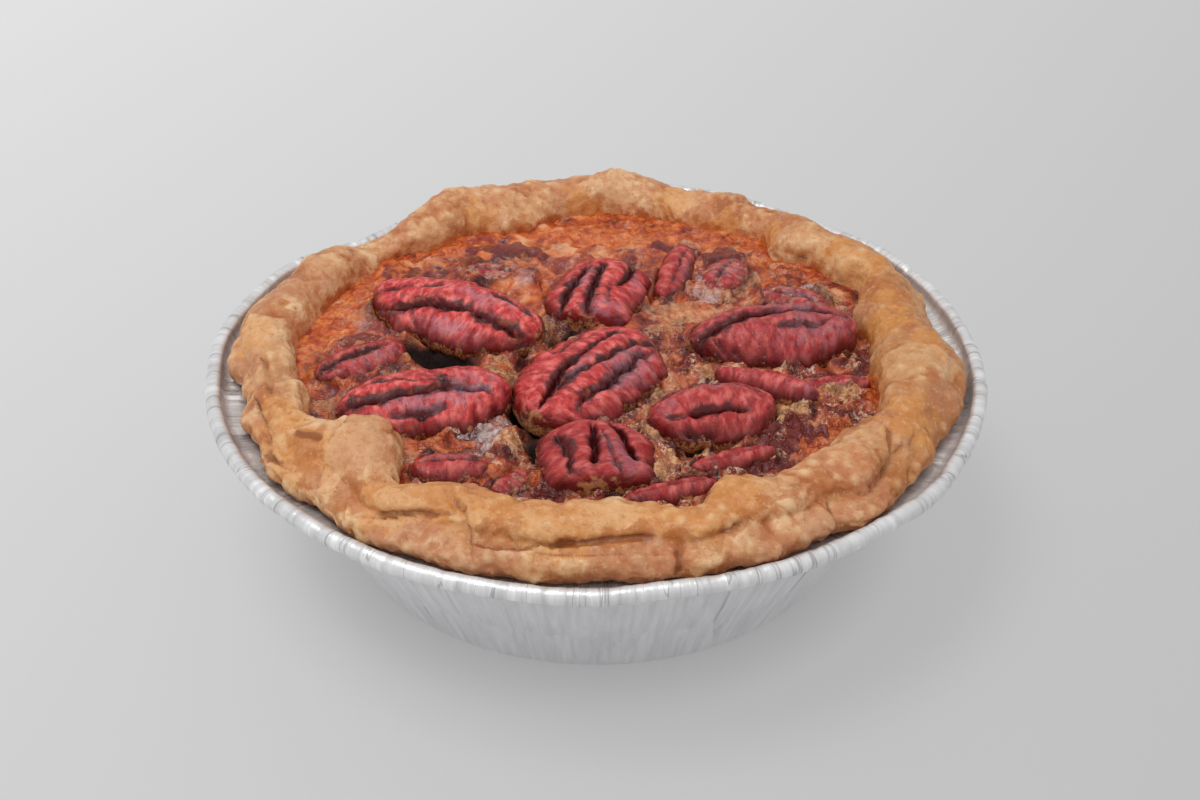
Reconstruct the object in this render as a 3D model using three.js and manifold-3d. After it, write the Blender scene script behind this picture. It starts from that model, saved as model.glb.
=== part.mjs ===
// A small pecan pie baked in its own foil pan.
// Millimetres, +Z up. The origin is the centre of the pan's base, on the surface it stands on.
// Angles are in degrees round the pie: 0 is +X, 90 is +Y, 270 is the front.

import * as THREE from "three";
import { mergeVertices } from "three/addons/utils/BufferGeometryUtils.js";
import Module from "manifold-3d";

const wasm = await Module();
wasm.setup();

// ---------------------------------------------------------------- driving dimensions

const GAP = 0.3; // air between pieces that touch

// Foil pan
const BASE_RADIUS = 42.9; // outside of the wall, at the table
const BASE_CORNER = 1.2; // rounding where the wall meets the base
const MOUTH_RADIUS = 56.1; // outside of the wall, where it turns out into the flange
const MOUTH_HEIGHT = 27.8;
const FLANGE_RISE = 0.9; // the flange climbs this much on its way out
const CURL_RADIUS = 1.3; // the rolled edge
const RIM_RADIUS = 63.5; // outside of the rolled edge
const FOIL = 0.6; // thickness of the wall
const PAN_SIDES = 64;
const CURL_SIDES = 8;

// Places where the rim is out of round
const DENTS = [
  { at: 135, spread: 22, push: -4.7 }, // pinched in by a thumb, back left
  { at: 175, spread: 14, push: 0.5 },
  { at: 52, spread: 20, push: -1.0 },
  { at: 322, spread: 12, push: 0.5 },
  { at: 10, spread: 22, push: -0.5 },
  { at: 278, spread: 10, push: -0.4 },
];

// Pastry
const CRUST_WALL = 4.2; // thickness in the pan
const EDGE_RADIUS = 59.3; // outside of the rim roll
const CREST_RADIUS = 51.6; // top of the rim roll
const CREST_HEIGHT = 36.4;
const LIP_RADIUS = 47.2; // where the roll meets the filling
const FILLING_EDGE = 31.6; // height of the filling there
const GROOVE_DEPTH = 1.3; // between the two layers of the folded roll
const CRUST_SIDES = 120; // shared with the filling, so that the two keep an even gap

// The hand-pinched folds of the roll: how far each moves the lip, the crest and the edge
// outwards, and how much it lifts the crest
const FOLDS = [
  { at: 7, spread: 15, lip: -3.4, crest: -2.4, edge: -2.6, lift: 0.2 }, // rolled-over end, right
  { at: 23, spread: 6, lip: 2.6, crest: 1.0, edge: -2.2, lift: 0.0 },
  { at: 43, spread: 9, lip: -3.2, crest: -1.6, edge: -2.4, lift: 0.5 },
  { at: 55, spread: 9, lip: 1.8, crest: 0.6, edge: -1.6, lift: -0.8 },
  { at: 67, spread: 14, lip: -0.6, crest: 0.4, edge: -1.0, lift: -2.0 }, // low stretch, back
  { at: 86, spread: 10, lip: 2.2, crest: 1.6, edge: -0.4, lift: 1.6 }, // tall peak, back
  { at: 108, spread: 11, lip: -5.2, crest: -0.6, edge: -0.6, lift: 0.2 },
  { at: 120, spread: 9, lip: -1.0, crest: 1.4, edge: -0.4, lift: 1.2 },
  { at: 129, spread: 7, lip: -3.0, crest: 0.4, edge: 0.0, lift: -0.4 }, // overlap, back left
  { at: 142, spread: 10, lip: 2.0, crest: 2.6, edge: -0.2, lift: -2.8 }, // low stretch, back left
  { at: 158, spread: 10, lip: 0.2, crest: 0.8, edge: -1.4, lift: 0.9 },
  { at: 183, spread: 24, lip: 2.4, crest: 2.2, edge: 0.2, lift: 0.3 }, // thin strip, left
  { at: 193, spread: 5, lip: 0.0, crest: -0.4, edge: -2.6, lift: -0.6 }, // notch
  { at: 208, spread: 9, lip: 3.2, crest: 1.2, edge: -1.6, lift: -0.6 }, // pinched recess, left
  { at: 224, spread: 11, lip: -5.4, crest: -4.6, edge: -0.6, lift: 1.3 }, // big smooth lobe
  { at: 237, spread: 7, lip: 3.4, crest: 2.4, edge: 0.6, lift: -0.2 },
  { at: 248, spread: 9, lip: -1.8, crest: -1.6, edge: 0.4, lift: 0.0 },
  { at: 263, spread: 9, lip: 1.0, crest: 0.8, edge: 0.4, lift: 0.5 },
  { at: 274, spread: 6, lip: -1.4, crest: -1.2, edge: 0.2, lift: 0.0 },
  { at: 285, spread: 7, lip: 2.4, crest: 1.8, edge: 0.8, lift: 0.2 },
  { at: 295, spread: 7, lip: -2.4, crest: -1.8, edge: 0.9, lift: 0.2 }, // small round lobe
  { at: 304, spread: 5, lip: 0.4, crest: 0.0, edge: -0.6, lift: -0.3 },
  { at: 312, spread: 6, lip: -0.6, crest: -0.8, edge: 1.8, lift: -0.6 },
  { at: 323, spread: 7, lip: -1.6, crest: -1.6, edge: -0.9, lift: -0.7 },
  { at: 333, spread: 6, lip: 1.8, crest: 0.4, edge: -1.2, lift: 0.0 },
  { at: 350, spread: 14, lip: -2.6, crest: -1.8, edge: 0.5, lift: 0.4 },
];

// The two layers of the roll part along the front
const GROOVE_FROM = 214;
const GROOVE_TO = 334;
const GROOVE_FADE = 16;

// Filling
const DOME = 1.5; // rise from edge to middle
const FILLING_RINGS = 8;
const LUMP = 0.55; // height of the lumps in its skin
const SKIN_TOLERANCE = 0.2; // flat enough to share a facet
const HOLLOWS = [
  { x: -26, y: -3.5, long: 8.5, wide: 4.0, turn: -18, depth: 3.6 }, // under the large pecan, left
  { x: -11, y: -20, long: 9.5, wide: 3.4, turn: 108, depth: 3.8 }, // beside the middle pecan
  { x: -6.5, y: 0.5, long: 4.6, wide: 3.0, turn: 40, depth: 3.2 },
  { x: 35, y: -9.6, long: 4.0, wide: 1.8, turn: 0, depth: 1.6 },
];

// Pecans: the places of their grooves across them from -1 to 1, the middle, the heading of the
// long axis, a roll about it, the size, the height of the widest line and the rise above it.
// A broken nut has blunt ends.
const PECANS = [
  {
    name: "pecan_back_left_large", grooves: [-0.12, 0.62],
    x: -23.4, y: 6.6, turn: -28, roll: 6, long: 32.4, wide: 16.0, seat: 33.4, rise: 5.0,
  },
  {
    name: "pecan_left_large", grooves: [-0.5, 0.12, 0.62],
    x: -26.6, y: -20.0, turn: 12, roll: 4, long: 27.0, wide: 16.0, seat: 33.2, rise: 4.8,
  },
  {
    name: "pecan_middle", grooves: [-0.46, 0.02, 0.52],
    x: -1.2, y: -13.4, turn: 54, long: 29.0, wide: 19.6, seat: 33.0, rise: 5.0,
  },
  {
    name: "pecan_front_broken", grooves: [-0.5, 0.0, 0.5], blunt: true,
    x: 0.0, y: -35.2, turn: 96, long: 14.6, wide: 17.6, seat: 32.6, rise: 4.6,
  },
  {
    name: "pecan_back_broken", grooves: [-0.5, 0.0, 0.5], blunt: true,
    x: 0.2, y: 12.8, turn: 73, long: 18.6, wide: 16.4, seat: 33.0, rise: 4.6,
  },
  {
    name: "pecan_back_sliver", grooves: [],
    x: 13.6, y: 21.8, turn: 76, long: 19.4, wide: 5.8, seat: 32.6, rise: 3.4,
  },
  {
    name: "pecan_back_filmed", grooves: [0.1],
    x: 22.4, y: 21.6, turn: 68, long: 12.6, wide: 8.6, seat: 31.9, rise: 2.8,
  },
  {
    name: "pecan_right_large", grooves: [-0.3, 0.3],
    x: 28.4, y: -1.7, turn: 8, roll: 4, long: 27.2, wide: 12.6, seat: 33.0, rise: 4.6,
  },
  {
    name: "pecan_front_right_large", grooves: [-0.42, 0.3],
    x: 17.6, y: -23.6, turn: 12, long: 20.0, wide: 13.4, seat: 33.0, rise: 4.6,
  },
  {
    name: "pecan_front_right_ridge", grooves: [],
    x: 26.6, y: -15.8, turn: -22, long: 17.0, wide: 5.0, seat: 33.0, rise: 3.6,
  },
  {
    name: "pecan_left_small", grooves: [0.0],
    x: -39.4, y: -7.8, turn: 26, long: 12.0, wide: 7.6, seat: 32.2, rise: 2.6,
  },
  {
    name: "pecan_front_left_small", grooves: [0.1],
    x: -21.6, y: -36.2, turn: 2, long: 11.0, wide: 6.4, seat: 32.0, rise: 2.6,
  },
  {
    name: "pecan_front_left_crumb", grooves: [],
    x: -12.4, y: -40.0, turn: 50, long: 7.4, wide: 5.0, seat: 31.9, rise: 2.2,
  },
  {
    name: "pecan_front_right_inner", grooves: [],
    x: 20.2, y: -34.4, turn: 22, long: 14.6, wide: 4.6, seat: 32.2, rise: 2.6,
  },
  {
    name: "pecan_front_right_outer", grooves: [],
    x: 10.8, y: -41.9, turn: 18, long: 15.6, wide: 4.2, seat: 31.8, rise: 2.6,
  },
  {
    name: "pecan_right_filmed", grooves: [],
    x: 37.2, y: -13.6, turn: 6, long: 12.6, wide: 5.0, seat: 32.0, rise: 2.6,
  },
  {
    name: "pecan_back_left_filmed", grooves: [0.0],
    x: -17.4, y: 22.4, turn: -14, long: 14.0, wide: 8.0, seat: 31.8, rise: 2.6,
  },
  {
    name: "pecan_back_right_filmed", grooves: [-0.1],
    x: 33.6, y: 13.6, turn: -24, long: 12.6, wide: 8.0, seat: 32.0, rise: 2.6,
  },
];
const KEEL = 3.6; // depth of a nut below its widest line, as sunk in the filling
const GROOVE_BITE = 0.34; // depth of a nut's grooves, as a share of its rise
const GROOVE_SPAN = 0.13; // half the width of a groove, across the nut from -1 to 1
const TOP_SPAN = 0.86; // how far across the nut its top reaches, before the sides drop
const NUT_STEP = 2.6; // length of a facet along a nut
const SOCKET_GAP = 0.9; // room left round a sunk nut
const SOCKET_STEP = 3.2; // length of a facet along its socket
const SOCKET_SIDES = 4; // facets across the socket's round floor
const SOCKET_TOP = 12; // how far the cut reaches above the nut's widest line

// ---------------------------------------------------------------- small helpers

const radians = THREE.MathUtils.degToRad;
const mix = THREE.MathUtils.lerp;

// 1 at the middle of a stretch of angle, falling smoothly to 0 at its ends
function swell(angle, at, spread) {
  const away = Math.abs(((((angle - at) % 360) + 540) % 360) - 180) / spread;
  return away < 1 ? Math.cos((away * Math.PI) / 2) ** 2 : 0;
}

function sumOver(list, key, angle) {
  return list.reduce((sum, one) => sum + one[key] * swell(angle, one.at, one.spread), 0);
}

// Smooth seeded lumps over the plane, about -1 to 1, with a grain of about 6 mm
function lumps(x, y) {
  const coarse = Math.sin(0.61 * x + 1.3) * Math.cos(0.53 * y - 0.7);
  const fine = Math.sin(0.97 * x - 0.74 * y + 2.1) * Math.cos(0.42 * x + 1.13 * y);
  return 0.6 * coarse + 0.4 * fine;
}

// The pan's dents move the pastry with them, most at the rim and nothing near the base
function squeezed(radius, height, angle) {
  const outwards = THREE.MathUtils.smoothstep(radius, BASE_RADIUS, EDGE_RADIUS);
  const upwards = (Math.min(height, MOUTH_HEIGHT) / MOUTH_HEIGHT) ** 3;
  return radius + sumOver(DENTS, "push", angle) * outwards * upwards;
}

// A closed mesh from points and triangles
function solid(points, triangles) {
  const geometry = new THREE.BufferGeometry();
  geometry.setAttribute("position", new THREE.Float32BufferAttribute(points.flat(), 3));
  geometry.setIndex(triangles.flat());
  geometry.computeVertexNormals();
  return geometry;
}

// A solid round the Z axis. profile(angle) lists [radius, height] from the axis at the bottom,
// out and round to the axis at the top, with the same number of points at every angle.
function lathed(sides, profile) {
  const points = [];
  const triangles = [];
  const rings = profile(0).length - 2;
  for (let side = 0; side < sides; side++) {
    const angle = (360 * side) / sides;
    for (const [radius, height] of profile(angle).slice(1, -1)) {
      const reach = squeezed(radius, height, angle);
      points.push([reach * Math.cos(radians(angle)), reach * Math.sin(radians(angle)), height]);
    }
  }
  const bottom = points.push([0, 0, profile(0)[0][1]]) - 1;
  const top = points.push([0, 0, profile(0)[rings + 1][1]]) - 1;
  for (let side = 0; side < sides; side++) {
    const here = side * rings;
    const next = ((side + 1) % sides) * rings;
    triangles.push([bottom, next, here]);
    for (let ring = 0; ring < rings - 1; ring++) {
      const [near, far] = [here + ring, next + ring];
      // The diagonal climbs with the angle, so that two walls face to face are cut alike
      if (points[near][2] < points[near + 1][2]) {
        triangles.push([near, far, far + 1], [near, far + 1, near + 1]);
      } else {
        triangles.push([near, far, near + 1], [far, far + 1, near + 1]);
      }
    }
    triangles.push([here + rings - 1, next + rings - 1, top]);
  }
  return solid(points, triangles);
}

// ---------------------------------------------------------------- foil pan

function panProfile() {
  const curl = [RIM_RADIUS - CURL_RADIUS, MOUTH_HEIGHT + FLANGE_RISE + CURL_RADIUS + 0.2];
  const profile = [
    [0, 0],
    [BASE_RADIUS - 1.6 * BASE_CORNER, 0],
    [BASE_RADIUS - 0.5 * BASE_CORNER, 0.3 * BASE_CORNER],
    [BASE_RADIUS, BASE_CORNER],
    [MOUTH_RADIUS, MOUTH_HEIGHT],
    [MOUTH_RADIUS + 1, MOUTH_HEIGHT + 0.5],
  ];
  for (let side = 0; side < CURL_SIDES; side++) {
    const turn = radians(mix(-125, 190, side / (CURL_SIDES - 1)));
    profile.push([curl[0] + CURL_RADIUS * Math.cos(turn), curl[1] + CURL_RADIUS * Math.sin(turn)]);
  }
  profile.push(
    [MOUTH_RADIUS + 0.7, MOUTH_HEIGHT + 0.5 + FOIL],
    [MOUTH_RADIUS - 0.8 * FOIL, MOUTH_HEIGHT + 0.4 * FOIL],
    [BASE_RADIUS - 1.2 * FOIL, BASE_CORNER],
    [BASE_RADIUS - 0.5 * BASE_CORNER - FOIL, 0.2 * BASE_CORNER + FOIL],
    [BASE_RADIUS - 1.6 * BASE_CORNER - 0.3 * FOIL, FOIL],
    [0, FOIL],
  );
  return profile;
}

// ---------------------------------------------------------------- crust

function crustSizes(angle) {
  const rising = THREE.MathUtils.smoothstep(angle, GROOVE_FROM, GROOVE_FROM + GROOVE_FADE);
  const falling = 1 - THREE.MathUtils.smoothstep(angle, GROOVE_TO - GROOVE_FADE, GROOVE_TO);
  return {
    lip: LIP_RADIUS + sumOver(FOLDS, "lip", angle),
    crest: CREST_RADIUS + sumOver(FOLDS, "crest", angle),
    edge: EDGE_RADIUS + sumOver(FOLDS, "edge", angle),
    top: CREST_HEIGHT + sumOver(FOLDS, "lift", angle),
    groove: GROOVE_DEPTH * Math.min(rising, falling),
  };
}

// The crust's inside follows the pan's wall up to the lip
function insideCorner() {
  return [BASE_RADIUS - CRUST_WALL - 1.4 * FOIL, FOIL + GAP + CRUST_WALL];
}

function crustProfile(angle) {
  const { lip, crest, edge, top, groove } = crustSizes(angle);
  const shelf = MOUTH_HEIGHT + 0.5 + FOIL + GAP; // rests on the flange
  const roll = edge - crest;
  const clear = RIM_RADIUS - 2 * CURL_RADIUS - 2 * GAP; // inside the rolled foil
  return [
    [0, FOIL + GAP],
    [BASE_RADIUS - 1.6 * BASE_CORNER - FOIL - GAP, FOIL + GAP],
    [BASE_RADIUS - FOIL - 2 * GAP, FOIL + GAP + BASE_CORNER],
    [MOUTH_RADIUS - FOIL - 2 * GAP, MOUTH_HEIGHT],
    [MOUTH_RADIUS + 0.4, shelf],
    [Math.min(edge, clear) - 1.6, shelf + 0.35],
    [Math.min(edge - 0.2, clear), shelf + 1.1],
    [Math.min(edge, clear + 0.4), shelf + 2.4],
    [edge - 0.16 * roll, mix(shelf, top, 0.55)],
    [edge - 0.34 * roll - groove, mix(shelf, top, 0.68) - 0.3 * groove],
    [edge - 0.46 * roll, mix(shelf, top, 0.86)],
    [crest + 0.16 * roll, top - 0.15],
    [crest - 0.2 * roll, top - 0.35],
    [mix(crest, lip, 0.6), mix(FILLING_EDGE, top, 0.55)],
    [lip + 0.6, FILLING_EDGE + 0.5],
    [lip, FILLING_EDGE - 0.6],
    insideCorner(),
    [0, insideCorner()[1]],
  ];
}

// ---------------------------------------------------------------- filling

function fillingTop(x, y) {
  const out = Math.hypot(x, y) / LIP_RADIUS;
  let height = FILLING_EDGE + DOME * (1 - out ** 2) + LUMP * lumps(x, y) * Math.min(1, 3 * (1 - out));
  for (const hollow of HOLLOWS) {
    const turn = radians(hollow.turn);
    const along = ((x - hollow.x) * Math.cos(turn) + (y - hollow.y) * Math.sin(turn)) / hollow.long;
    const across = ((y - hollow.y) * Math.cos(turn) - (x - hollow.x) * Math.sin(turn)) / hollow.wide;
    height -= hollow.depth * Math.exp(-2 * (along ** 2 + across ** 2));
  }
  return height;
}

function fillingProfile(angle) {
  const { lip } = crustSizes(angle);
  const [cornerRadius, cornerHeight] = insideCorner();
  const edge = lip - 1.4 * GAP;
  const profile = [
    [0, cornerHeight + GAP],
    [cornerRadius - 1.6 * GAP, cornerHeight + GAP],
    [edge, FILLING_EDGE - 0.6],
  ];
  for (let ring = 0; ring < FILLING_RINGS; ring++) {
    const radius = edge * (1 - ring / FILLING_RINGS) - 0.3;
    const x = radius * Math.cos(radians(angle));
    const y = radius * Math.sin(radians(angle));
    profile.push([radius, fillingTop(x, y)]);
  }
  profile.push([0, fillingTop(0, 0)]);
  return profile;
}

// ---------------------------------------------------------------- pecans

// Half the width of a nut at a place along it from -1 to 1
function nutWidth(nut, along) {
  const [square, round] = nut.blunt ? [5, 0.42] : [2.3, 0.6];
  return (nut.wide / 2) * (1 - Math.abs(along) ** square) ** round;
}

// Places across the top of a nut from 1 to -1, close together at its grooves
function topPlaces(grooves) {
  const places = [-TOP_SPAN];
  for (const groove of grooves) {
    places.push(mix(places.at(-1), groove - GROOVE_SPAN, 0.5));
    places.push(groove - GROOVE_SPAN, groove, groove + GROOVE_SPAN);
  }
  places.push(mix(places.at(-1), TOP_SPAN, 0.5), TOP_SPAN);
  return places.reverse();
}

// Closes rings of points, set out along X, with a point at each end
function capped(rings, back, front) {
  const points = [...rings.flat(), back, front];
  const [backPoint, frontPoint] = [points.length - 2, points.length - 1];
  const count = rings[0].length;
  const last = (rings.length - 1) * count;
  const triangles = [];
  for (let side = 0; side < count; side++) {
    const next = (side + 1) % count;
    triangles.push([backPoint, next, side]);
    for (let here = 0; here < last; here += count) {
      triangles.push([here + side, here + count + next, here + count + side]);
      triangles.push([here + side, here + next, here + count + next]);
    }
    triangles.push([frontPoint, last + side, last + next]);
  }
  return solid(points, triangles);
}

// Places along a nut between its ends, from -1 to 1, closer together at the ends
function stepsAlong(count) {
  return Array.from({ length: count - 1 }, (_, step) => -Math.cos((Math.PI * (step + 1)) / count));
}

// A half pecan: domed and grooved on top, with a shallow keel below. Its length is along X and
// its widest line is at height 0.
function nutGeometry(nut) {
  const rings = stepsAlong(Math.max(5, Math.round(nut.long / NUT_STEP))).map((along) => {
    const half = nutWidth(nut, along);
    const plump = Math.sqrt((2 * half) / nut.wide);
    const x = (along * nut.long) / 2;
    const top = topPlaces(nut.grooves).map((across) => {
      const dome = Math.sqrt(1 - 0.96 * across ** 2);
      const bite = nut.grooves.includes(across) ? GROOVE_BITE : 0;
      return [x, half * across, nut.rise * plump * dome * (1 - bite)];
    });
    const keel = [-0.7, 0, 0.7].map((across) => {
      return [x, half * across, -KEEL * plump * Math.sqrt(1 - across ** 2)];
    });
    return [[x, half, 0], ...top, [x, -half, 0], ...keel];
  });
  return capped(rings, [-nut.long / 2, 0, 0], [nut.long / 2, 0, 0]);
}

// What a sunk nut takes out of the filling: its keel with some room, and all that is above
function socketGeometry(nut) {
  const reach = nut.long / 2 + SOCKET_GAP;
  const rings = stepsAlong(Math.max(6, Math.round(nut.long / SOCKET_STEP))).map((along) => {
    const half = nutWidth(nut, along) + SOCKET_GAP;
    const depth = (KEEL + SOCKET_GAP) * Math.sqrt(half / (nut.wide / 2 + SOCKET_GAP));
    const x = along * reach;
    const ring = [
      [x, half, SOCKET_TOP],
      [x, 0, SOCKET_TOP],
      [x, -half, SOCKET_TOP],
      [x, -half, 0],
    ];
    for (let side = SOCKET_SIDES - 1; side > 0; side--) {
      const turn = (Math.PI * side) / SOCKET_SIDES;
      ring.push([x, half * Math.cos(turn), -depth * Math.sin(turn)]);
    }
    ring.push([x, half, 0]);
    return ring;
  });
  return capped(rings, [-reach, 0, SOCKET_TOP / 3], [reach, 0, SOCKET_TOP / 3]);
}

// Sets a nut, or its socket, where the nut lies
function placedNut(nut, geometry, material) {
  const mesh = new THREE.Mesh(geometry, material);
  mesh.rotation.set(radians(nut.roll ?? 0), 0, radians(nut.turn), "ZYX");
  mesh.position.set(nut.x, nut.y, nut.seat);
  mesh.updateMatrixWorld();
  return mesh;
}

// ---------------------------------------------------------------- joining and cutting

function toManifold(geometry) {
  const bare = geometry.clone();
  bare.deleteAttribute("normal");
  const merged = mergeVertices(bare, 1e-4);
  return new wasm.Manifold(
    new wasm.Mesh({
      numProp: 3,
      vertProperties: new Float32Array(merged.attributes.position.array),
      triVerts: new Uint32Array(merged.index.array),
    }),
  );
}

function fromManifold(manifold) {
  const mesh = manifold.getMesh();
  const geometry = new THREE.BufferGeometry();
  geometry.setAttribute("position", new THREE.BufferAttribute(mesh.vertProperties, 3));
  geometry.setIndex(new THREE.BufferAttribute(mesh.triVerts, 1));
  geometry.computeVertexNormals();
  return geometry;
}

function fillingGeometry() {
  let filling = toManifold(lathed(CRUST_SIDES, fillingProfile));
  for (const nut of PECANS) {
    const socket = placedNut(nut, socketGeometry(nut));
    filling = filling.subtract(toManifold(socket.geometry.applyMatrix4(socket.matrixWorld)));
  }
  const bodies = filling.simplify(SKIN_TOLERANCE).decompose();
  bodies.sort((one, other) => other.volume() - one.volume());
  return fromManifold(bodies[0]);
}

// ---------------------------------------------------------------- the pie

const foil = new THREE.MeshStandardMaterial({ color: 0xc9cbcd, metalness: 1, roughness: 0.35 });
const pastry = new THREE.MeshStandardMaterial({ color: 0xd49a5c, metalness: 0, roughness: 0.65 });
const custard = new THREE.MeshStandardMaterial({ color: 0x8a4a26, metalness: 0, roughness: 0.45 });

function named(name, geometry, material) {
  const mesh = new THREE.Mesh(geometry, material);
  mesh.name = name;
  return mesh;
}

const pie = new THREE.Group();
pie.add(named("foil_pan", lathed(PAN_SIDES, panProfile), foil));
pie.add(named("crust", lathed(CRUST_SIDES, crustProfile), pastry));
pie.add(named("filling", fillingGeometry(), custard));

for (const nut of PECANS) {
  const skin = new THREE.MeshStandardMaterial({ color: 0x7d2b2a, metalness: 0, roughness: 0.5 });
  const mesh = placedNut(nut, nutGeometry(nut), skin);
  mesh.name = nut.name;
  pie.add(mesh);
}

export default pie;
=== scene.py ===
"""A small pecan pie in its foil pan: the looks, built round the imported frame.

Sizes are in millimetres, and MM turns them into the frame's metres. Angles are in degrees round
the pie: 0 is +X, 90 is +Y and 270 is the front.
"""

import math

import bpy
import numpy as np
from mathutils import Matrix, Vector


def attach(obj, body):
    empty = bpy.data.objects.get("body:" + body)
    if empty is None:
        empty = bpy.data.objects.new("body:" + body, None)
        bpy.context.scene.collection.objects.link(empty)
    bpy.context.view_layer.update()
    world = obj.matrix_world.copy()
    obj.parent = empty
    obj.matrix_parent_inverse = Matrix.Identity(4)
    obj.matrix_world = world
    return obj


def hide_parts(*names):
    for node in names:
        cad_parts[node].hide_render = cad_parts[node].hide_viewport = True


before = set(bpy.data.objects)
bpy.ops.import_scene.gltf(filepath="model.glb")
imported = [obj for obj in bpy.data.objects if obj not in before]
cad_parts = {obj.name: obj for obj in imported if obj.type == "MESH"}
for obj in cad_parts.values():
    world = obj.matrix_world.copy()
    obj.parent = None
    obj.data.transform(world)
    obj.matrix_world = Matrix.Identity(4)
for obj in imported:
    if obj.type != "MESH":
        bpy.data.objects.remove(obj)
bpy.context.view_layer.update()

MM = 0.001
SLOPES = np.random.default_rng(3).normal(size=(256, 3))
SLOPES /= np.linalg.norm(SLOPES, axis=1)[:, None]
SPOTS = np.random.default_rng(4).uniform(size=(256, 3))

# ------------------------------------------------------------------ driving dimensions

# Foil pan
BASE_RADIUS = 42.9
BASE_CORNER = 1.2
MOUTH_RADIUS = 56.1
MOUTH_HEIGHT = 27.8
CURL_CENTRE = (62.2, 30.2)
CURL_RADIUS = 1.3
FOIL = 0.22
PAN_SIDES = 1200
WALL_RADIUS = 50  # half way up the wall, where its creases are laid out flat
MAP_RADIUS = 60  # where the pan's UV map is true to size
MAP_SEAM = 90.1  # the map's seam is at the back, between two columns of vertices
DENTS = [  # places where the rim is out of round: angle, spread, push outwards
    (135, 22, -4.7),
    (175, 14, 0.5),
    (52, 20, -1.0),
    (322, 12, 0.5),
    (10, 22, -0.5),
    (278, 10, -0.4),
]

# Creases pressed into the wall: depth, reach, then the path as an angle and a height
WALL_CREASES = [
    (0.45, 0.5, [(234.8, 13.5), (235.2, 9.0), (235.1, 3.0)]),
    (0.18, 0.7, [(255.4, 24.0), (255.1, 20.0), (254.7, 12.3), (253.8, 3.9)]),
    (0.12, 0.6, [(257.7, 20.0), (257.0, 13.0), (256.2, 7.9)]),
    (0.18, 0.8, [(269.8, 1.0), (271.5, 4.0), (274.2, 9.6), (276.0, 15.0)]),
    (0.14, 0.6, [(273.5, 2.0), (277.0, 8.0), (279.0, 16.0)]),
    (0.50, 0.5, [(291.6, 17.0), (292.1, 13.9), (293.0, 8.5), (294.4, 3.9)]),
    (0.22, 0.5, [(296.0, 14.0), (295.0, 9.5), (292.6, 6.0)]),
    (0.35, 0.5, [(308.6, 18.0), (308.9, 14.0), (309.3, 9.0)]),
    (0.20, 0.7, [(222.0, 24.0), (223.5, 16.0), (224.0, 8.0)]),
    (0.22, 0.6, [(243.5, 25.0), (244.5, 17.0), (244.0, 10.0)]),
    (0.22, 0.7, [(320.0, 24.0), (319.0, 16.0), (320.5, 8.0)]),
    (0.30, 0.6, [(20.0, 22.0), (21.0, 12.0), (20.4, 4.0)]),
    (0.26, 0.7, [(61.0, 24.0), (62.5, 14.0), (62.0, 6.0)]),
    (0.35, 0.6, [(104.0, 20.0), (103.0, 12.0), (104.5, 3.0)]),
    (0.26, 0.6, [(150.0, 24.0), (148.6, 15.0), (149.0, 6.0)]),
    (0.30, 0.5, [(188.0, 18.0), (189.2, 10.0), (188.8, 3.0)]),
]

# Pastry
EDGE_RADIUS = 59.3
CREST_RADIUS = 51.6
CREST_HEIGHT = 36.4
LIP_RADIUS = 47.2
FILLING_EDGE = 31.6
GROOVE_DEPTH = 1.3
SHELF = MOUTH_HEIGHT + 1.4  # the pastry's underside on the flange
CLEAR = 60.3  # the pastry stays inside the curl
CRUST_SIDES = 240

# Hand-pinched folds: angle, spread, then how far each moves the lip, the crest and the edge
# outwards, and how much it lifts the crest
FOLDS = [
    (7, 15, -3.4, -2.4, -2.6, 0.2),
    (23, 6, 2.6, 1.0, -2.2, 0.0),
    (36, 8, 0.0, -0.4, -1.2, 0.0),
    (43, 9, -3.2, -1.6, -2.4, 0.5),
    (55, 9, 1.8, 0.6, -1.6, -0.8),
    (64, 9, 0.0, 0.8, 1.6, 1.4),
    (67, 14, -0.6, 0.4, -1.0, -2.0),
    (86, 10, 2.2, 1.6, -0.4, 1.6),
    (108, 11, -5.2, -0.6, -0.6, 0.2),
    (121, 9, -1.0, 1.6, 0.9, 1.2),
    (129, 7, -3.0, 0.4, 0.0, -0.4),
    (142, 10, 2.0, 2.6, -0.2, -2.8),
    (158, 10, 0.2, 0.8, -1.4, 0.9),
    (183, 24, 2.4, 2.2, 0.2, 0.3),
    (191, 7, 0.0, -0.8, -2.4, -0.4),
    (197, 5, 0.0, -0.4, -2.6, -0.6),
    (208, 9, 3.2, 1.2, -1.6, -0.6),
    (224, 11, -5.4, -4.6, -0.6, 1.3),
    (237, 7, 3.4, 2.4, 0.6, -0.2),
    (248, 9, -1.8, -1.6, 0.4, 0.0),
    (263, 9, 1.0, 0.8, 0.4, 0.5),
    (274, 6, -1.4, -1.2, 0.2, 0.0),
    (285, 7, 2.4, 1.8, 0.8, 0.2),
    (295, 7, -2.4, -1.8, 0.9, 0.2),
    (304, 5, 0.4, 0.0, -0.6, -0.3),
    (312, 6, -0.6, -0.8, 1.8, -0.6),
    (323, 7, -1.6, -1.6, -0.9, -0.7),
    (333, 6, 1.8, 0.4, -1.2, 0.0),
    (350, 14, -2.6, -1.8, 0.5, 0.4),
]
LIP, CREST, EDGE, LIFT = 2, 3, 4, 5

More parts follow.
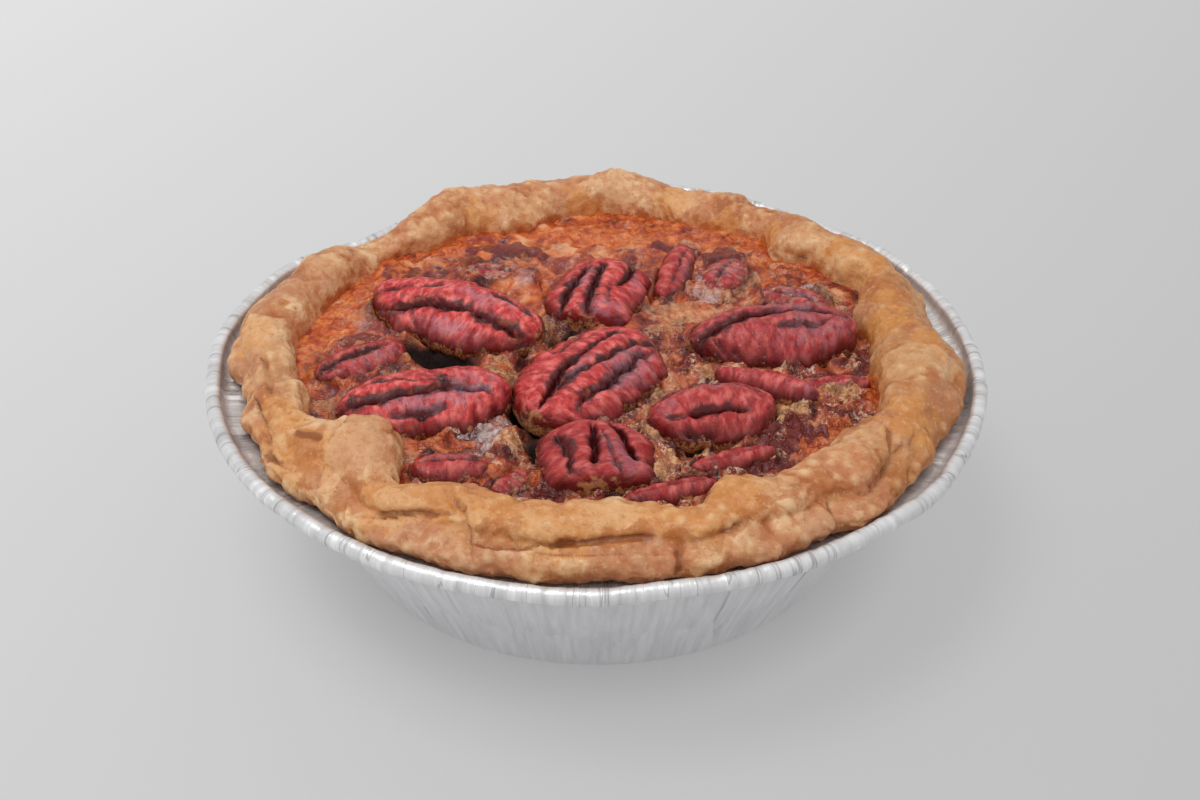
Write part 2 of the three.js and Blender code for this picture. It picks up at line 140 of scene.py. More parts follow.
# Creases where the dough laps: depth, reach, how dark (partly browning, partly painted shade), then
# the path. The dough on the left of the path lies over the dough on its right.
CREASES = [
    # the big front-left lobe over the flap beside it
    (2.0, 3.6, 0.6, [
        (-36.6, -28.6, 38), (-37.1, -32.1, 38), (-38.1, -36.2, 37), (-39.8, -39.9, 34.5),
        (-40.1, -42.5, 32.8), (-39.0, -44.6, 31.4),
    ]),
    # the flap's lower edge over the layer below it
    (1.2, 2.2, 0.9, [
        (-40.2, -41.0, 32.4), (-44.5, -37.0, 32.6), (-48.0, -33.5, 32.4), (-50.6, -29.5, 32.8),
        (-52.3, -23.4, 33.6),
    ]),
    # folds across the front roll
    (1.3, 2.4, 0.6, [
        (-21.4, -45.4, 36.6), (-19.8, -48.2, 36.1), (-18.3, -50.1, 36), (-17.5, -53.0, 34.4),
        (-16.7, -57.5, 30.9),
    ]),
    (1.3, 1.8, 1.0, [(11.2, -58.8, 30.4), (11.2, -57.4, 32.7), (11.1, -55.4, 34.7)]),
    (1.1, 1.8, 0.7, [(34.2, -48.6, 30.5), (33.3, -47.2, 32.7), (32.9, -44.6, 34.0)]),
    (1.2, 1.6, 0.8, [(51.0, -29.8, 31.4), (50.5, -28.7, 32.6), (49.9, -26.2, 34.4)]),
    (0.9, 1.6, 0.7, [(46.6, -37.0, 31.0), (46.1, -36.5, 32.2), (46.9, -32.5, 34)]),
    # the valley between the top and the front roll, the roll standing over it
    (0.9, 2.0, 0.75, [
        (-20.5, -50.2, 35.4), (-24.5, -50.6, 34.6), (-29.0, -49.6, 34.2), (-35.7, -48.0, 33.2),
    ]),
    (1.1, 2.4, 0.9, [
        (10.4, -54.6, 34.2), (3.3, -55.5, 34.6), (-2.2, -56.2, 34.3), (-10.4, -56.6, 33.8),
        (-16.0, -55.4, 33.6), (-18.6, -52.8, 34.2),
    ]),
    (1.1, 2.4, 0.9, [
        (33.5, -42.8, 35.2), (29.1, -44.3, 35.5), (26.0, -47.3, 35.6), (20.1, -52.0, 34.6),
        (14.4, -55.0, 34.0),
    ]),
    # the inner layer's edge at the front right
    (1.0, 2.2, 0.9, [
        (36.5, -43.6, 34), (39.0, -42.2, 33.8), (42.3, -36.8, 33.8), (43.4, -33.6, 34.6),
        (43.5, -27.9, 36.2),
    ]),
    # the right lobe over the crust behind it
    (1.8, 3.0, 1.0, [
        (55.2, -3.2, 34), (54.0, -1.6, 35.9), (52.4, -0.6, 36.1), (49.8, 1.9, 36.1),
        (47.7, 5.5, 35.8), (45.9, 8.3, 34.9), (44.6, 11, 33),
    ]),
    # softer folds at the back and on the left
    (1.0, 2.6, 0.5, [
        (-24.8, 39.0, 32.2), (-24.9, 41.3, 34.0), (-26.6, 41.7, 36.3), (-28.6, 45.5, 36),
    ]),
    (0.6, 3.0, 0.3, [(-14.5, 43.1, 34.3), (-15.3, 45.6, 35.3), (-14.7, 49.8, 36.5)]),
    (0.9, 1.8, 0.7, [
        (40.0, 29.6, 33.4), (37.7, 28.7, 33.0), (34.5, 29.0, 32.6), (31.3, 30.8, 32.6),
        (29.4, 34.0, 32.8),
    ]),
    (1.2, 2.4, 0.7, [
        (-50.0, -21.5, 35.5), (-51.4, -16, 36), (-52.8, -11.4, 36.1), (-53.4, -8, 35.4),
    ]),
    # the thin ear that stands out from the flap
    (1.7, 2.0, 1.0, [
        (-52.6, -18.6, 34.6), (-51.6, -22.0, 34.6), (-50.8, -24.6, 34.2), (-49.6, -27.6, 33.6),
        (-48.4, -30.6, 32.8),
    ]),
    # the flap's turned-up edge, and the thin lip behind the big lobe
    (0.8, 1.6, 0.8, [
        (-45.4, -29.6, 35.4), (-44.0, -31.2, 36), (-42.2, -32.6, 36.7), (-39.8, -34.2, 37.1),
    ]),
    (0.9, 1.4, 0.7, [(-29.6, -29.4, 35.4), (-30.9, -34.0, 37.2), (-33.6, -34.6, 38.8)]),
    # the roll's edge at the front left, and the pale ridge on the left
    (0.8, 1.6, 0.6, [
        (-32.4, -47.6, 33.0), (-28.3, -48.9, 34.8), (-23.6, -49.9, 35.4), (-18.0, -51.0, 36.2),
    ]),
    (1.1, 2.0, 0.5, [
        (-50.4, 3.4, 33.4), (-51.4, 2.9, 35.2), (-53.2, 1.8, 36.6), (-55.4, 2.6, 36.8),
        (-57.2, 4.0, 35.6),
    ]),
    # the front roll's lower edge
    (0.5, 1.0, 0.5, [
        (12.0, -56.9, 33.4), (2.0, -57.6, 33.7), (-5.0, -57.9, 33.9), (-13.0, -57.0, 33.5),
    ]),
]
# Swellings and dents in the dough: x, y, z, radius, how far out
SWELLINGS = [
    (-36.0, -37.0, 36.5, 6.0, 0.9),
    (-33.5, -31.0, 36.5, 5.0, 0.7),
    (-45.0, -31.0, 36.0, 4.5, -0.5),
    (52.5, -8.0, 36.0, 7.0, 0.6),
    (48.0, -17.0, 36.0, 5.0, -0.4),
    (27.0, -40.5, 36.0, 4.0, 0.5),
    (20.0, -45.0, 36.5, 4.0, 0.7),
    (-30.0, 37.0, 35.5, 5.5, 0.7),
    (-47.0, 14.0, 36.0, 8.0, -0.5),
    (-52.0, 8.0, 36.0, 5.0, 0.4),
    (36.0, 34.0, 35.0, 5.0, 0.5),
    (44.5, 20.0, 35.0, 6.0, 0.4),
    (-5.0, -49.5, 36.5, 7.0, 0.4),
    (5.0, 52.0, 36.5, 8.0, -0.4),
]

# How the pastry is baked: places x, y, z in each tone, all of one reach
TINTS = {
    "cream": (4.2, [
        (-35, -39, 38), (-38, -42, 35), (-47, -20, 36), (-28, -49, 35), (-17, -53, 35),
        (38, 30, 35), (43, 22, 34), (46, 18, 32), (48, -13, 37), (42, -32, 36), (-46, 20, 36),
        (-55, 0, 37), (-52, -5, 36), (-50, -13, 35), (-16, 43, 34), (-30, 35, 34), (-9, 46, 33),
        (5, 50, 34), (-36, -33, 38), (2, -52, 37), (25, -45, 37), (55, -10, 37), (16, 48, 34),
    ]),
    "gold": (4.4, [
        (-31, -48, 35), (-25, -48, 36), (-18, -49, 37), (-13, -51, 37), (-8, -54, 37),
        (-4, -55, 37), (0, -53, 37), (6, -52, 37), (14, -53, 37), (18, -48, 37), (20, -47, 37),
        (32, 35, 34), (47, 20, 35), (47, 0, 35), (54, -7, 37), (48, -24, 36), (48, -29, 35),
        (-56, -3, 37), (-22, 43, 33), (-3, 49, 33), (14, 48, 34), (23, 42, 32), (50, 9, 36),
        (44, 27, 35), (-45, -35, 36), (-47, -30, 36), (-49, -25, 36), (-42, -37, 36),
    ]),
    "rose": (4.6, [
        (-34, -38, 38), (-24, -50, 35), (-18, -56, 33), (-22, -54, 33), (-14, -58, 33),
        (7, -58, 33), (-26, -52, 34), (44, 7, 33), (54, -19, 35), (45, -30, 36), (-48, 15, 36),
        (-50, 14, 37), (-57, 7, 36), (-57, -8, 33), (33, 35, 36), (-7, 48, 33), (23, -56, 31),
        (3, -58, 33), (-30, -53, 33), (32, -50, 32), (40, -43, 33),
    ]),
    "rust": (2.3, [
        (-35, -44, 35), (-36, -45, 34), (-43, -35, 35), (-42, -34, 37), (-44, -32, 36),
        (-52, -19, 36), (-50, -21, 36), (-14, -54, 35), (-12, -55, 34), (-5, -56, 34), (2, -56, 34),
        (6, -55, 35), (11, -55, 35), (16, -55, 34), (20, -52, 35), (23, -50, 36), (27, -47, 37),
        (32, -43, 36), (35, 36, 37), (50, 12, 37), (51, 8, 36), (52, -16, 36), (-53, 5, 37),
        (-54, -11, 36), (-25, 42, 34), (-14, 42, 33), (-41, -39, 33), (19, 45, 33), (47, 14, 36),
        (53, -2, 36),
    ]),
}

# Filling
DOME = 1.5
FILLING_FLOOR = 5.6
FILLING_TUCK = 0.8  # the filling's edge goes into the pastry
FILLING_STEP = 0.3  # grain of its mesh
HOLLOWS = [  # cavities, painted near-black as shade: x, y, length, width, heading, depth
    (-26, -3.2, 8.5, 3.4, -22, 6.5),
    (-11.5, -18, 10.5, 2.4, 100, 6.0),
    (-8.5, -30, 4.5, 1.8, 95, 5.0),
    (-12, -4, 3.0, 1.2, 80, 2.4),
    (-5.5, 2.0, 4.6, 2.4, 50, 5.0),
    (36.5, -6.2, 1.6, 1.0, 90, 2.4),
    (12.3, -7, 5.0, 0.9, 70, 1.8),
    (-8.8, 14, 4.0, 0.9, 98, 1.6),
    (28.6, 18, 2.4, 0.8, 80, 1.6),
    (15, -30, 2.6, 1.5, 8, 2.4),
    (33.2, 13, 2.0, 0.8, 10, 1.4),
    (-41, -14, 2.0, 0.8, 0, 1.2),
    (25.6, 25, 2.6, 0.7, 95, 1.0),
    (18, 29, 4.5, 0.6, 72, 1.2),
    (1, -44.5, 3.5, 0.8, 24, 1.2),
    (9.6, 12.5, 2.4, 0.7, 75, 1.2),
    (6.2, -20.5, 1.6, 1.0, 60, 2.0),
    (34, -22, 1.6, 0.8, 60, 1.0),
]
LUMPS = [  # raised places in the custard: x, y, length, width, heading, height
    (-14.6, -30.5, 3.4, 2.2, 60, 2.0),
    (-12.0, -38.0, 4.0, 2.0, 40, 1.4),
    (-7.0, -39.0, 2.6, 1.8, 20, 1.0),
    (-17.5, 21.5, 7.0, 3.6, -18, 1.5),
    (-12.0, 17.5, 3.0, 2.2, 60, 1.2),
    (-21.0, 25.0, 4.0, 2.4, -20, 1.0),
    (24.0, 24.0, 6.0, 3.0, 70, 1.0),
    (38.0, 13.5, 6.0, 3.0, 10, 1.2),
    (38.5, -16.5, 6.0, 3.0, 10, 1.2),
    (30.0, -24.0, 6.0, 2.2, 40, 1.0),
    (-38.0, -14.0, 5.0, 2.4, 30, 0.8),
    (-34.0, -1.0, 6.0, 2.4, 30, 1.0),
    (-42.5, 8.0, 3.0, 7.0, 70, 0.8),
    (15.0, -38.0, 7.0, 1.6, 20, 0.8),
    (-16.5, -18.0, 2.6, 5.0, 100, 1.2),
    (12.0, 3.0, 3.0, 4.0, 60, 0.8),
]
PATCHES = {  # where the custard's skin differs: x, y, length, width, heading
    "froth": [
        (-9.5, 6, 5, 1.6, 110), (-15, -9, 5, 2.6, 110), (-33, -3, 5.5, 2.6, -10),
        (-38, 8, 4, 2.6, 30), (10, -20, 9, 1.5, 80), (8, 9, 3, 1.6, 0), (14, 9, 3.5, 2.4, 20),
        (12, 3.5, 4, 2, -20), (23, 17, 6, 2.4, 40), (17, -9.5, 3, 1.6, 10), (28, -7.4, 3, 1.6, 20),
        (-30, 26, 3, 2, 20), (12, -27, 2, 3, 80), (12, -34, 6, 1.6, 20), (-44, -17, 2, 4, 95),
        (38, -16, 3.5, 2, 20), (40, 14, 3, 2, -30), (3, 32, 4.5, 2, 10), (24, -38, 5, 1.0, 25),
        (-13, -29, 1.6, 4, 80), (30, -22, 4, 3, 0), (-14, 27, 4, 2, 60), (-36, 14, 1.4, 6, 100),
    ],
    "film": [
        (-16, -20, 7.5, 3.4, 100), (-18, 23.5, 4, 1.4, 80), (-12, 18.5, 2.6, 1.6, 90),
        (18.5, 20.5, 3, 1.8, 90), (19, 15.5, 3.5, 1.6, 90), (33.2, 17, 1.5, 2.4, 60),
        (37, 18.5, 3.4, 1.5, 110), (-37.5, -8, 3.4, 1.6, 20), (-39, 6, 2, 1.4, 60),
        (33, -6.8, 3, 1.2, 10), (37, -3.8, 3, 1.2, 0), (42, -11.5, 1.4, 2.8, 100),
        (31, -19, 3, 1.4, 20), (-17.5, -28, 4, 2.2, 90), (16, 27, 5, 0.9, 72), (-28, 29, 3, 1.2, 0),
        (4, 6.4, 3, 1.2, 10), (-22, -3.4, 3, 0.6, 60),
    ],
    "amber": [
        (0, 38, 9, 4, 0), (9, 39, 5, 3, -20), (-41, 17, 10, 2, 78), (-45, 3, 5, 2, 80),
        (-46.5, -8, 5, 2, 95), (-22, 26, 3, 2.6, -20), (-13, 24, 2, 2, 0), (-27, -28, 2.2, 2, 0),
        (-22, -29, 2.6, 1.6, 0), (-29, -37, 2.5, 3, 0), (-14, -37, 3, 2, 30), (-18, -38, 2, 2, 0),
        (-10, -38, 2, 3, 60), (31, 19, 4.5, 2, 85), (37, -25, 5, 2.2, 75), (32, -30, 3, 3, 45),
        (38, 24, 2.5, 2, 0), (-9, 17, 3, 1.2, 80), (45, -14, 6, 2, 90), (-17, -6.5, 2.4, 1.4, 0),
        (28, 33, 4, 2, -30), (12, 15, 2.4, 1.4, 80), (-28, 33, 5, 2, 20),
    ],
    "wine": [
        (17, -4.5, 4, 3, 0), (22, 26, 5, 3, 80), (-34, 25, 3, 2.5, 60), (-16, 33, 6, 1.8, 0),
        (29, -28, 5, 2.6, 30), (24, -35.6, 5, 1.2, 25), (-6, -41, 3.4, 2.6, 0),
        (-40, 0.5, 5, 1.8, 25), (36, -10.8, 6, 2.0, 6), (-24, -26, 5, 1.6, 0), (25, 31, 3, 2, 0),
        (-43, -8, 2, 3, 90), (43, 8, 2, 5, 90), (28, 11, 5, 1.4, 20), (-2, -24, 4, 1.2, 10),
        (44, -4, 3, 2, 90), (33, -25, 3, 2, 60), (-14, 31, 6, 2, -10), (14, 33, 5, 1.6, -15),
    ],
}

# Pecans. at: x, y and the height of the widest line; turn: heading of the long axis; roll about
# it; size: length, width, rise. Each groove is a depth and a reach in mm and its path on the nut's
# top: along the nut and across it, from -1 to 1. tips is how pointed the two ends are,
# painted_sheen where a lilac sheen is painted on the skin, deep how dark it is, and film how much
# of it the custard covers.
PECANS = {
    "back_left_large": dict(
        at=(-23.4, 6.6, 33.4), turn=-28, roll=6, size=(32.8, 16.4, 5.0), tips=(0.72, 0.5),
        deep=0.0,
        grooves=[
            (2.2, 2.0, [
                (-0.66, -0.60), (-0.46, -0.56), (-0.32, -0.40), (-0.2, -0.35), (-0.09, -0.31),
                (0.06, -0.25), (0.24, -0.21), (0.4, -0.29), (0.57, -0.31), (0.74, -0.34),
                (0.9, -0.40),
            ]),
            (0.8, 1.2, [(-0.98, -0.33), (-0.77, -0.2), (-0.6, -0.08), (-0.42, 0.06), (-0.2, 0.2)]),
            (0.9, 1.3, [(0.2, 0.62), (0.45, 0.44), (0.62, 0.34), (0.85, 0.2)]),
            (0.5, 1.2, [(-0.5, 0.62), (-0.1, 0.72), (0.3, 0.8)]),
            (0.7, 0.5, [(-0.34, -0.42), (-0.32, -0.59), (-0.27, -0.74), (-0.18, -0.9)]),
            (0.5, 0.5, [(-0.13, -0.38), (-0.1, -0.54), (-0.09, -0.8)]),
        ],
        painted_sheen=[(0.1, -0.75, 0.5, 0.2), (0.3, 0.2, 0.4, 0.3)],
    ),
    "left_large": dict(
        at=(-26.6, -20.0, 33.2), turn=12, roll=4, size=(27.6, 16.2, 4.8), tips=(0.8, 0.55),
        deep=0.05,
        grooves=[
            (1.9, 1.9, [
                (-0.93, -0.19), (-0.68, -0.18), (-0.47, -0.22), (-0.2, -0.20), (-0.01, -0.16),
                (0.27, -0.13), (0.56, -0.18), (0.72, -0.3),
            ]),
            (0.8, 1.3, [(-0.6, 0.36), (-0.35, 0.3), (-0.07, 0.2), (0.15, 0.09), (0.45, 0.02)]),
            (0.9, 0.8, [(-0.02, 0.36), (0.08, 0.28), (0.2, 0.2), (0.38, 0.14)]),
            (1.1, 1.0, [(-0.42, -0.62), (-0.13, -0.68), (0.04, -0.67), (0.22, -0.62)]),
        ],
        painted_sheen=[(-0.1, -0.45, 0.5, 0.25), (0.55, -0.1, 0.3, 0.5)],
    ),
    "middle": dict(
        at=(-1.2, -13.4, 33.2), turn=54, size=(29.4, 19.8, 5.0), tips=(0.5, 0.5),
        deep=0.1,
        grooves=[
            (2.4, 1.7, [
                (-0.92, -0.06), (-0.74, -0.02), (-0.52, 0.08), (-0.3, 0.18), (-0.05, 0.24),
            ]),
            (1.6, 1.6, [(-0.3, 0.18), (0.14, 0.24), (0.45, 0.24), (0.75, 0.14)]),
            (0.6, 1.0, [(-0.1, 0.56), (0.3, 0.62), (0.6, 0.5)]),
            (1.5, 1.5, [
                (-0.62, -0.06), (-0.34, -0.06), (-0.15, -0.12), (0.15, -0.18), (0.4, -0.2),
                (0.62, -0.28), (0.8, -0.42),
            ]),
            (2.0, 1.7, [
                (-0.66, -0.52), (-0.5, -0.52), (-0.31, -0.53), (-0.08, -0.54), (0.12, -0.50),
                (0.3, -0.56), (0.44, -0.46), (0.6, -0.56),
            ]),
        ],
        painted_sheen=[(0.2, -0.7, 0.6, 0.25), (0.3, -0.36, 0.4, 0.15), (-0.1, 0.0, 0.3, 0.1)],
    ),
    "front_broken": dict(
        at=(0.0, -35.2, 32.8), turn=96, size=(14.6, 17.6, 4.8), blunt=True,
        deep=0.35,
        grooves=[
            (1.2, 1.4, [(0.6, 0.62), (0.1, 0.54), (-0.35, 0.46), (-0.8, 0.5)]),
            (2.8, 1.3, [(0.8, 0.0), (0.49, 0.0), (0.1, 0.03), (-0.34, 0.04), (-0.7, 0.1)]),
            (2.6, 1.4, [(0.7, -0.30), (0.5, -0.42), (0.1, -0.52), (-0.2, -0.57), (-0.5, -0.58)]),
            (0.8, 0.9, [(0.47, -0.14), (0.0, -0.2), (-0.5, -0.24), (-0.9, -0.34)]),
        ],
        painted_sheen=[(-0.1, -0.3, 0.5, 0.2), (-0.7, -0.6, 0.3, 0.3)],
    ),
    "back_broken": dict(
        at=(0.2, 12.8, 33.0), turn=73, size=(18.6, 16.4, 4.8), blunt=True,
        deep=0.1,
        grooves=[
            (1.8, 1.6, [(-0.95, 0.49), (-0.35, 0.46), (0.2, 0.44), (0.6, 0.44)]),
            (1.8, 1.5, [(-1.0, -0.10), (-0.48, -0.02), (0.12, 0.06), (0.7, 0.12)]),
            (1.7, 1.4, [(0.02, -0.40), (0.3, -0.48), (0.6, -0.5), (0.95, -0.48)]),
            (0.6, 1.0, [(-0.66, -0.42), (-0.2, -0.34), (0.1, -0.26)]),
        ],
        painted_sheen=[(-0.75, -0.5, 0.35, 0.4), (0.0, 0.25, 0.5, 0.1), (0.4, -0.75, 0.4, 0.15)],
    ),
    "back_sliver": dict(
        at=(13.6, 21.8, 32.6), turn=76, size=(19.4, 6.2, 3.4), film=0.25,
        grooves=[(0.7, 1.0, [(-0.7, -0.3), (0, -0.2), (0.7, -0.3)])],
        painted_sheen=[(-0.2, -0.8, 0.8, 0.4)],
    ),
    "back_filmed": dict(
        at=(22.4, 21.6, 31.9), turn=68, size=(12.6, 9.0, 2.8), film=0.55,
        grooves=[(0.8, 1.2, [(-0.8, 0.1), (0, 0.15), (0.8, 0)])],
        painted_sheen=[(0, 0, 0.6, 0.6)],
    ),
    "right_large": dict(
        at=(28.6, -0.8, 33.6), turn=7, roll=9, size=(28.4, 14.6, 5.0), film=0.2, tips=(0.8, 0.42),
        deep=0.4,
        grooves=[
            (1.8, 1.8, [
                (-0.9, -0.3), (-0.72, -0.12), (-0.5, 0.02), (-0.25, 0.24), (0.09, 0.36),
                (0.5, 0.32), (0.85, 0.1),
            ]),
            (1.0, 1.3, [(-0.02, -0.26), (0.25, -0.22), (0.46, -0.2), (0.7, 0.02)]),
            (0.8, 0.8, [(-0.72, -0.34), (-0.61, -0.6), (-0.55, -0.9)]),
            (0.6, 0.7, [(-0.52, -0.6), (-0.40, -0.95)]),
        ],
        painted_sheen=[(0.45, -0.3, 0.5, 0.6), (0.3, 0.6, 0.5, 0.2)],
    ),
    "front_right_large": dict(
        at=(17.6, -23.6, 33.2), turn=12, size=(20.4, 13.8, 4.8), tips=(0.62, 0.5),
        deep=0.35,
        grooves=[
            (3.0, 1.5, [
                (-0.42, -0.42), (-0.2, -0.44), (-0.05, -0.44), (0.18, -0.40), (0.41, -0.46),
            ]),
            (0.8, 0.9, [(-0.8, -0.3), (-0.6, -0.44), (-0.42, -0.42)]),
            (1.0, 1.1, [(-0.8, 0.25), (-0.4, 0.55), (0, 0.66), (0.4, 0.55), (0.85, 0.0)]),
            (1.6, 1.0, [(-0.53, -0.80), (-0.35, -0.88), (-0.12, -0.9)]),
        ],
        painted_sheen=[(0.2, 0.3, 0.5, 0.2), (-0.7, -0.1, 0.2, 0.3)],
    ),
    "front_right_ridge": dict(
        at=(26.6, -15.8, 33.2), turn=-22, size=(17.4, 5.4, 3.8),
        deep=0.3,
        grooves=[(0.5, 0.9, [(-0.8, 0.2), (0, 0.3), (0.8, 0.2)])],
        painted_sheen=[(0.8, -0.3, 0.3, 0.6)],
    ),
    "left_small": dict(
        at=(-38.0, -6.4, 32.2), turn=34, size=(16.4, 9.6, 3.0), film=0.35, tips=(0.7, 0.6),
        grooves=[
            (1.4, 1.6, [(-0.9, -0.1), (-0.4, -0.08), (0.1, 0.0), (0.6, 0.05)]),
            (0.6, 0.9, [(-0.5, 0.5), (0.1, 0.55), (0.6, 0.45)]),
        ],
        painted_sheen=[(0.2, -0.5, 0.6, 0.3)],
    ),
    "front_left_small": dict(
        at=(-21.6, -36.2, 32.0), turn=2, size=(12.0, 7.0, 2.8), film=0.15,
        grooves=[(0.7, 1.0, [(-0.8, 0), (0, 0.1), (0.8, 0.1)])],
        painted_sheen=[(0.2, 0.5, 0.5, 0.3)],
    ),
    "front_left_crumb": dict(
        at=(-12.4, -40.0, 31.9), turn=50, size=(7.4, 5.0, 2.2), film=0.6, grooves=[],
    ),
    "front_right_inner": dict(
        at=(20.2, -34.4, 32.2), turn=22, size=(14.6, 4.6, 2.6), film=0.25,
        grooves=[(0.5, 0.7, [(-0.6, 0.1), (0.0, -0.1), (0.6, 0.1)])],
    ),
    "front_right_outer": dict(
        at=(10.8, -41.9, 31.8), turn=18, size=(15.6, 4.4, 2.6), film=0.15,
        grooves=[(0.5, 0.7, [(-0.7, 0.1), (0.0, 0.1), (0.7, 0.1)])],
    ),
    "right_filmed": dict(
        at=(37.2, -13.6, 32.0), turn=6, size=(12.6, 5.0, 2.6), film=0.35,
        grooves=[(0.5, 0.8, [(-0.6, 0.1), (0.0, -0.1), (0.6, 0.1)])],
    ),
    "back_left_filmed": dict(
        at=(-17.4, 22.4, 31.8), turn=-14, size=(14.0, 8.0, 2.6), film=0.7,
        grooves=[(0.8, 1.2, [(-0.8, 0), (0, 0.1), (0.8, 0)])],
    ),
    "back_right_filmed": dict(
        at=(33.6, 13.6, 32.0), turn=-24, size=(12.6, 8.0, 2.6), film=0.6,
        grooves=[(0.8, 1.2, [(-0.8, 0), (0, -0.1), (0.8, 0)])],
        painted_sheen=[(0, 0, 0.6, 0.6)],
    ),
}
KEEL = 3.6  # depth of a nut below its widest line
NUT_STEP = 0.24  # grain of a nut's mesh


# ------------------------------------------------------------------ modelling helpers


def clear_selection():
    bpy.ops.object.select_all(action="DESELECT")


def choose(piece):
    clear_selection()
    piece.select_set(True)
    bpy.context.view_layer.objects.active = piece


def edit(piece):
    choose(piece)
    bpy.ops.object.mode_set(mode="EDIT")
    bpy.ops.mesh.select_mode(type="VERT")


def leave_edit():
    bpy.ops.object.mode_set(mode="OBJECT")


def select_points(piece, chosen):
    """Edit mode with only these vertices selected."""
    edit(piece)
    bpy.ops.mesh.select_all(action="DESELECT")
    leave_edit()
    piece.data.vertices.foreach_set("select", chosen)
    edit(piece)


def select_openings(piece):
    """Edit mode with only the open edges selected."""
    edit(piece)
    bpy.ops.mesh.select_all(action="DESELECT")
    bpy.ops.mesh.select_non_manifold()


def faces_out(piece):
    edit(piece)
    bpy.ops.mesh.select_all(action="SELECT")
    bpy.ops.mesh.normals_make_consistent(inside=False)
    leave_edit()


def apply_modifier(piece, kind, **settings):
    modifier = piece.modifiers.new(kind.title(), kind)
    for key, value in settings.items():
        setattr(modifier, key, value)
    choose(piece)
    bpy.ops.object.modifier_apply(modifier=modifier.name)


def points_of(piece):
    """The vertices in millimetres."""
    flat = np.empty(len(piece.data.vertices) * 3, np.float32)
    piece.data.vertices.foreach_get("co", flat)
    return flat.reshape(-1, 3).astype(float) / MM


def move_points(piece, points):
    piece.data.vertices.foreach_set("co", (points * MM).astype(np.float32).ravel())
    piece.data.update()


def normals_of(piece):
    flat = np.empty(len(piece.data.vertices) * 3, np.float32)
    piece.data.vertex_normals.foreach_get("vector", flat)
    return flat.reshape(-1, 3).astype(float)


def set_mask(piece, name, values):
    """Keeps a number from 0 to 1 for each vertex, for the materials."""
    mask = piece.data.attributes.new(name, "FLOAT", "POINT")
    mask.data.foreach_set("value", np.clip(values, 0, 1).astype(np.float32))


def corner_points(piece):
    """The vertex at each corner of the faces."""
    corners = np.empty(len(piece.data.loops), np.int32)
    piece.data.loops.foreach_get("vertex_index", corners)
    return corners


def set_uv(piece, places):
    """A UV map in metres, from the two lengths in millimetres at each corner."""
    uv = piece.data.uv_layers.active or piece.data.uv_layers.new(name="UVMap")
    uv.data.foreach_set("uv", (places * MM).astype(np.float32).ravel())


def smooth_step(low, high, values):
    share = np.clip((values - low) / (high - low), 0, 1)
    return share * share * (3 - 2 * share)


def mix(a, b, share):
    return a + (b - a) * share


def scrambled(cells, seed):
    """A fixed jumble of each whole-numbered cell, from 0 to 255."""
    x, y, z = (cells[:, axis].astype(np.int64) for axis in range(3))
    mixed = (x * 73856093) ^ (y * 19349663) ^ (z * 83492791) ^ (seed * 26544357)
    mixed = (mixed ^ (mixed >> 15)) * 224682251
    return (mixed ^ (mixed >> 13)) & 255


def ripple(places, seed):
    """Gradient noise, one lump to a unit."""
    cell = np.floor(places)
    part = places - cell
    fade = part**3 * (part * (part * 6 - 15) + 10)
    total = np.zeros(len(places))
    for corner in np.ndindex(2, 2, 2):
        slope = SLOPES[scrambled(cell + corner, seed)]
        weight = np.prod(np.where(corner, fade, 1 - fade), axis=1)
        total += weight * (slope * (part - corner)).sum(axis=1)
    return total * 2


def grain(points, size, octaves=3, seed=0):
    """Smooth noise of about -1 to 1 with lumps of that size."""
    total = np.zeros(len(points))
    for octave in range(octaves):
        total += ripple(points / size * 2**octave, seed * 8 + octave) / 2**octave
    return total


def dots(points, size, reach, seed):
    """Scattered round dots, one to a cell of that size: 1 in the middle of a dot and 0 at its
    edge, which is at that share of a cell."""
    scaled = points / size
    home = np.floor(scaled)
    nearest = np.full(len(points), 9.0)
    for step in np.ndindex(3, 3, 3):
        cell = home + step - 1
        away = np.linalg.norm(cell + SPOTS[scrambled(cell, seed)] - scaled, axis=1)
        nearest = np.minimum(nearest, away)
    return np.maximum(0, reach - nearest) / reach


def smooth_path(path, steps=6):
    """The places of a path with a smooth curve through them."""
    path = np.array(path, float)
    ends = np.vstack([2 * path[0] - path[1], path, 2 * path[-1] - path[-2]])
    curve = []
    for a, b, c, d in zip(ends, ends[1:], ends[2:], ends[3:]):
        for step in range(steps):
            t = step / steps
            pull = (c - a) * t + (2 * a - 5 * b + 4 * c - d) * t**2 + (3 * b - a - 3 * c + d) * t**3
            curve.append(b + pull / 2)
    return np.array(curve + [path[-1]])


def path_distance(points, path):
    """For each point: its distance from the path, how far along it is from 0 to 1, the vector
    from the path to it, and the path's heading there."""
    count = len(points)
    best = np.full(count, 1e9)
    share = np.zeros(count)
    gap = np.zeros_like(points)
    heading = np.zeros_like(points)
    runs = np.linalg.norm(np.diff(path, axis=0), axis=1)
    starts = np.concatenate([[0], np.cumsum(runs)])
    for start, end, run, before in zip(path, path[1:], runs, starts):
        line = (end - start) / run
        t = np.clip((points - start) @ line, 0, run)
        away = points - start - t[:, None] * line
        far = np.linalg.norm(away, axis=1)
        closer = far < best
        best[closer] = far[closer]
        share[closer] = (before + t[closer]) / starts[-1]
        gap[closer] = away[closer]
        heading[closer] = line
    return best, share, gap, heading


def swell(angle, at, spread):
    """1 at the middle of a stretch of angle, falling smoothly to 0 at its ends."""
    away = np.abs((angle - at + 180) % 360 - 180) / spread
    return np.where(away < 1, np.cos(np.minimum(away, 1) * np.pi / 2) ** 2, 0)


def angle_of(points):
    return np.degrees(np.arctan2(points[:, 1], points[:, 0])) % 360


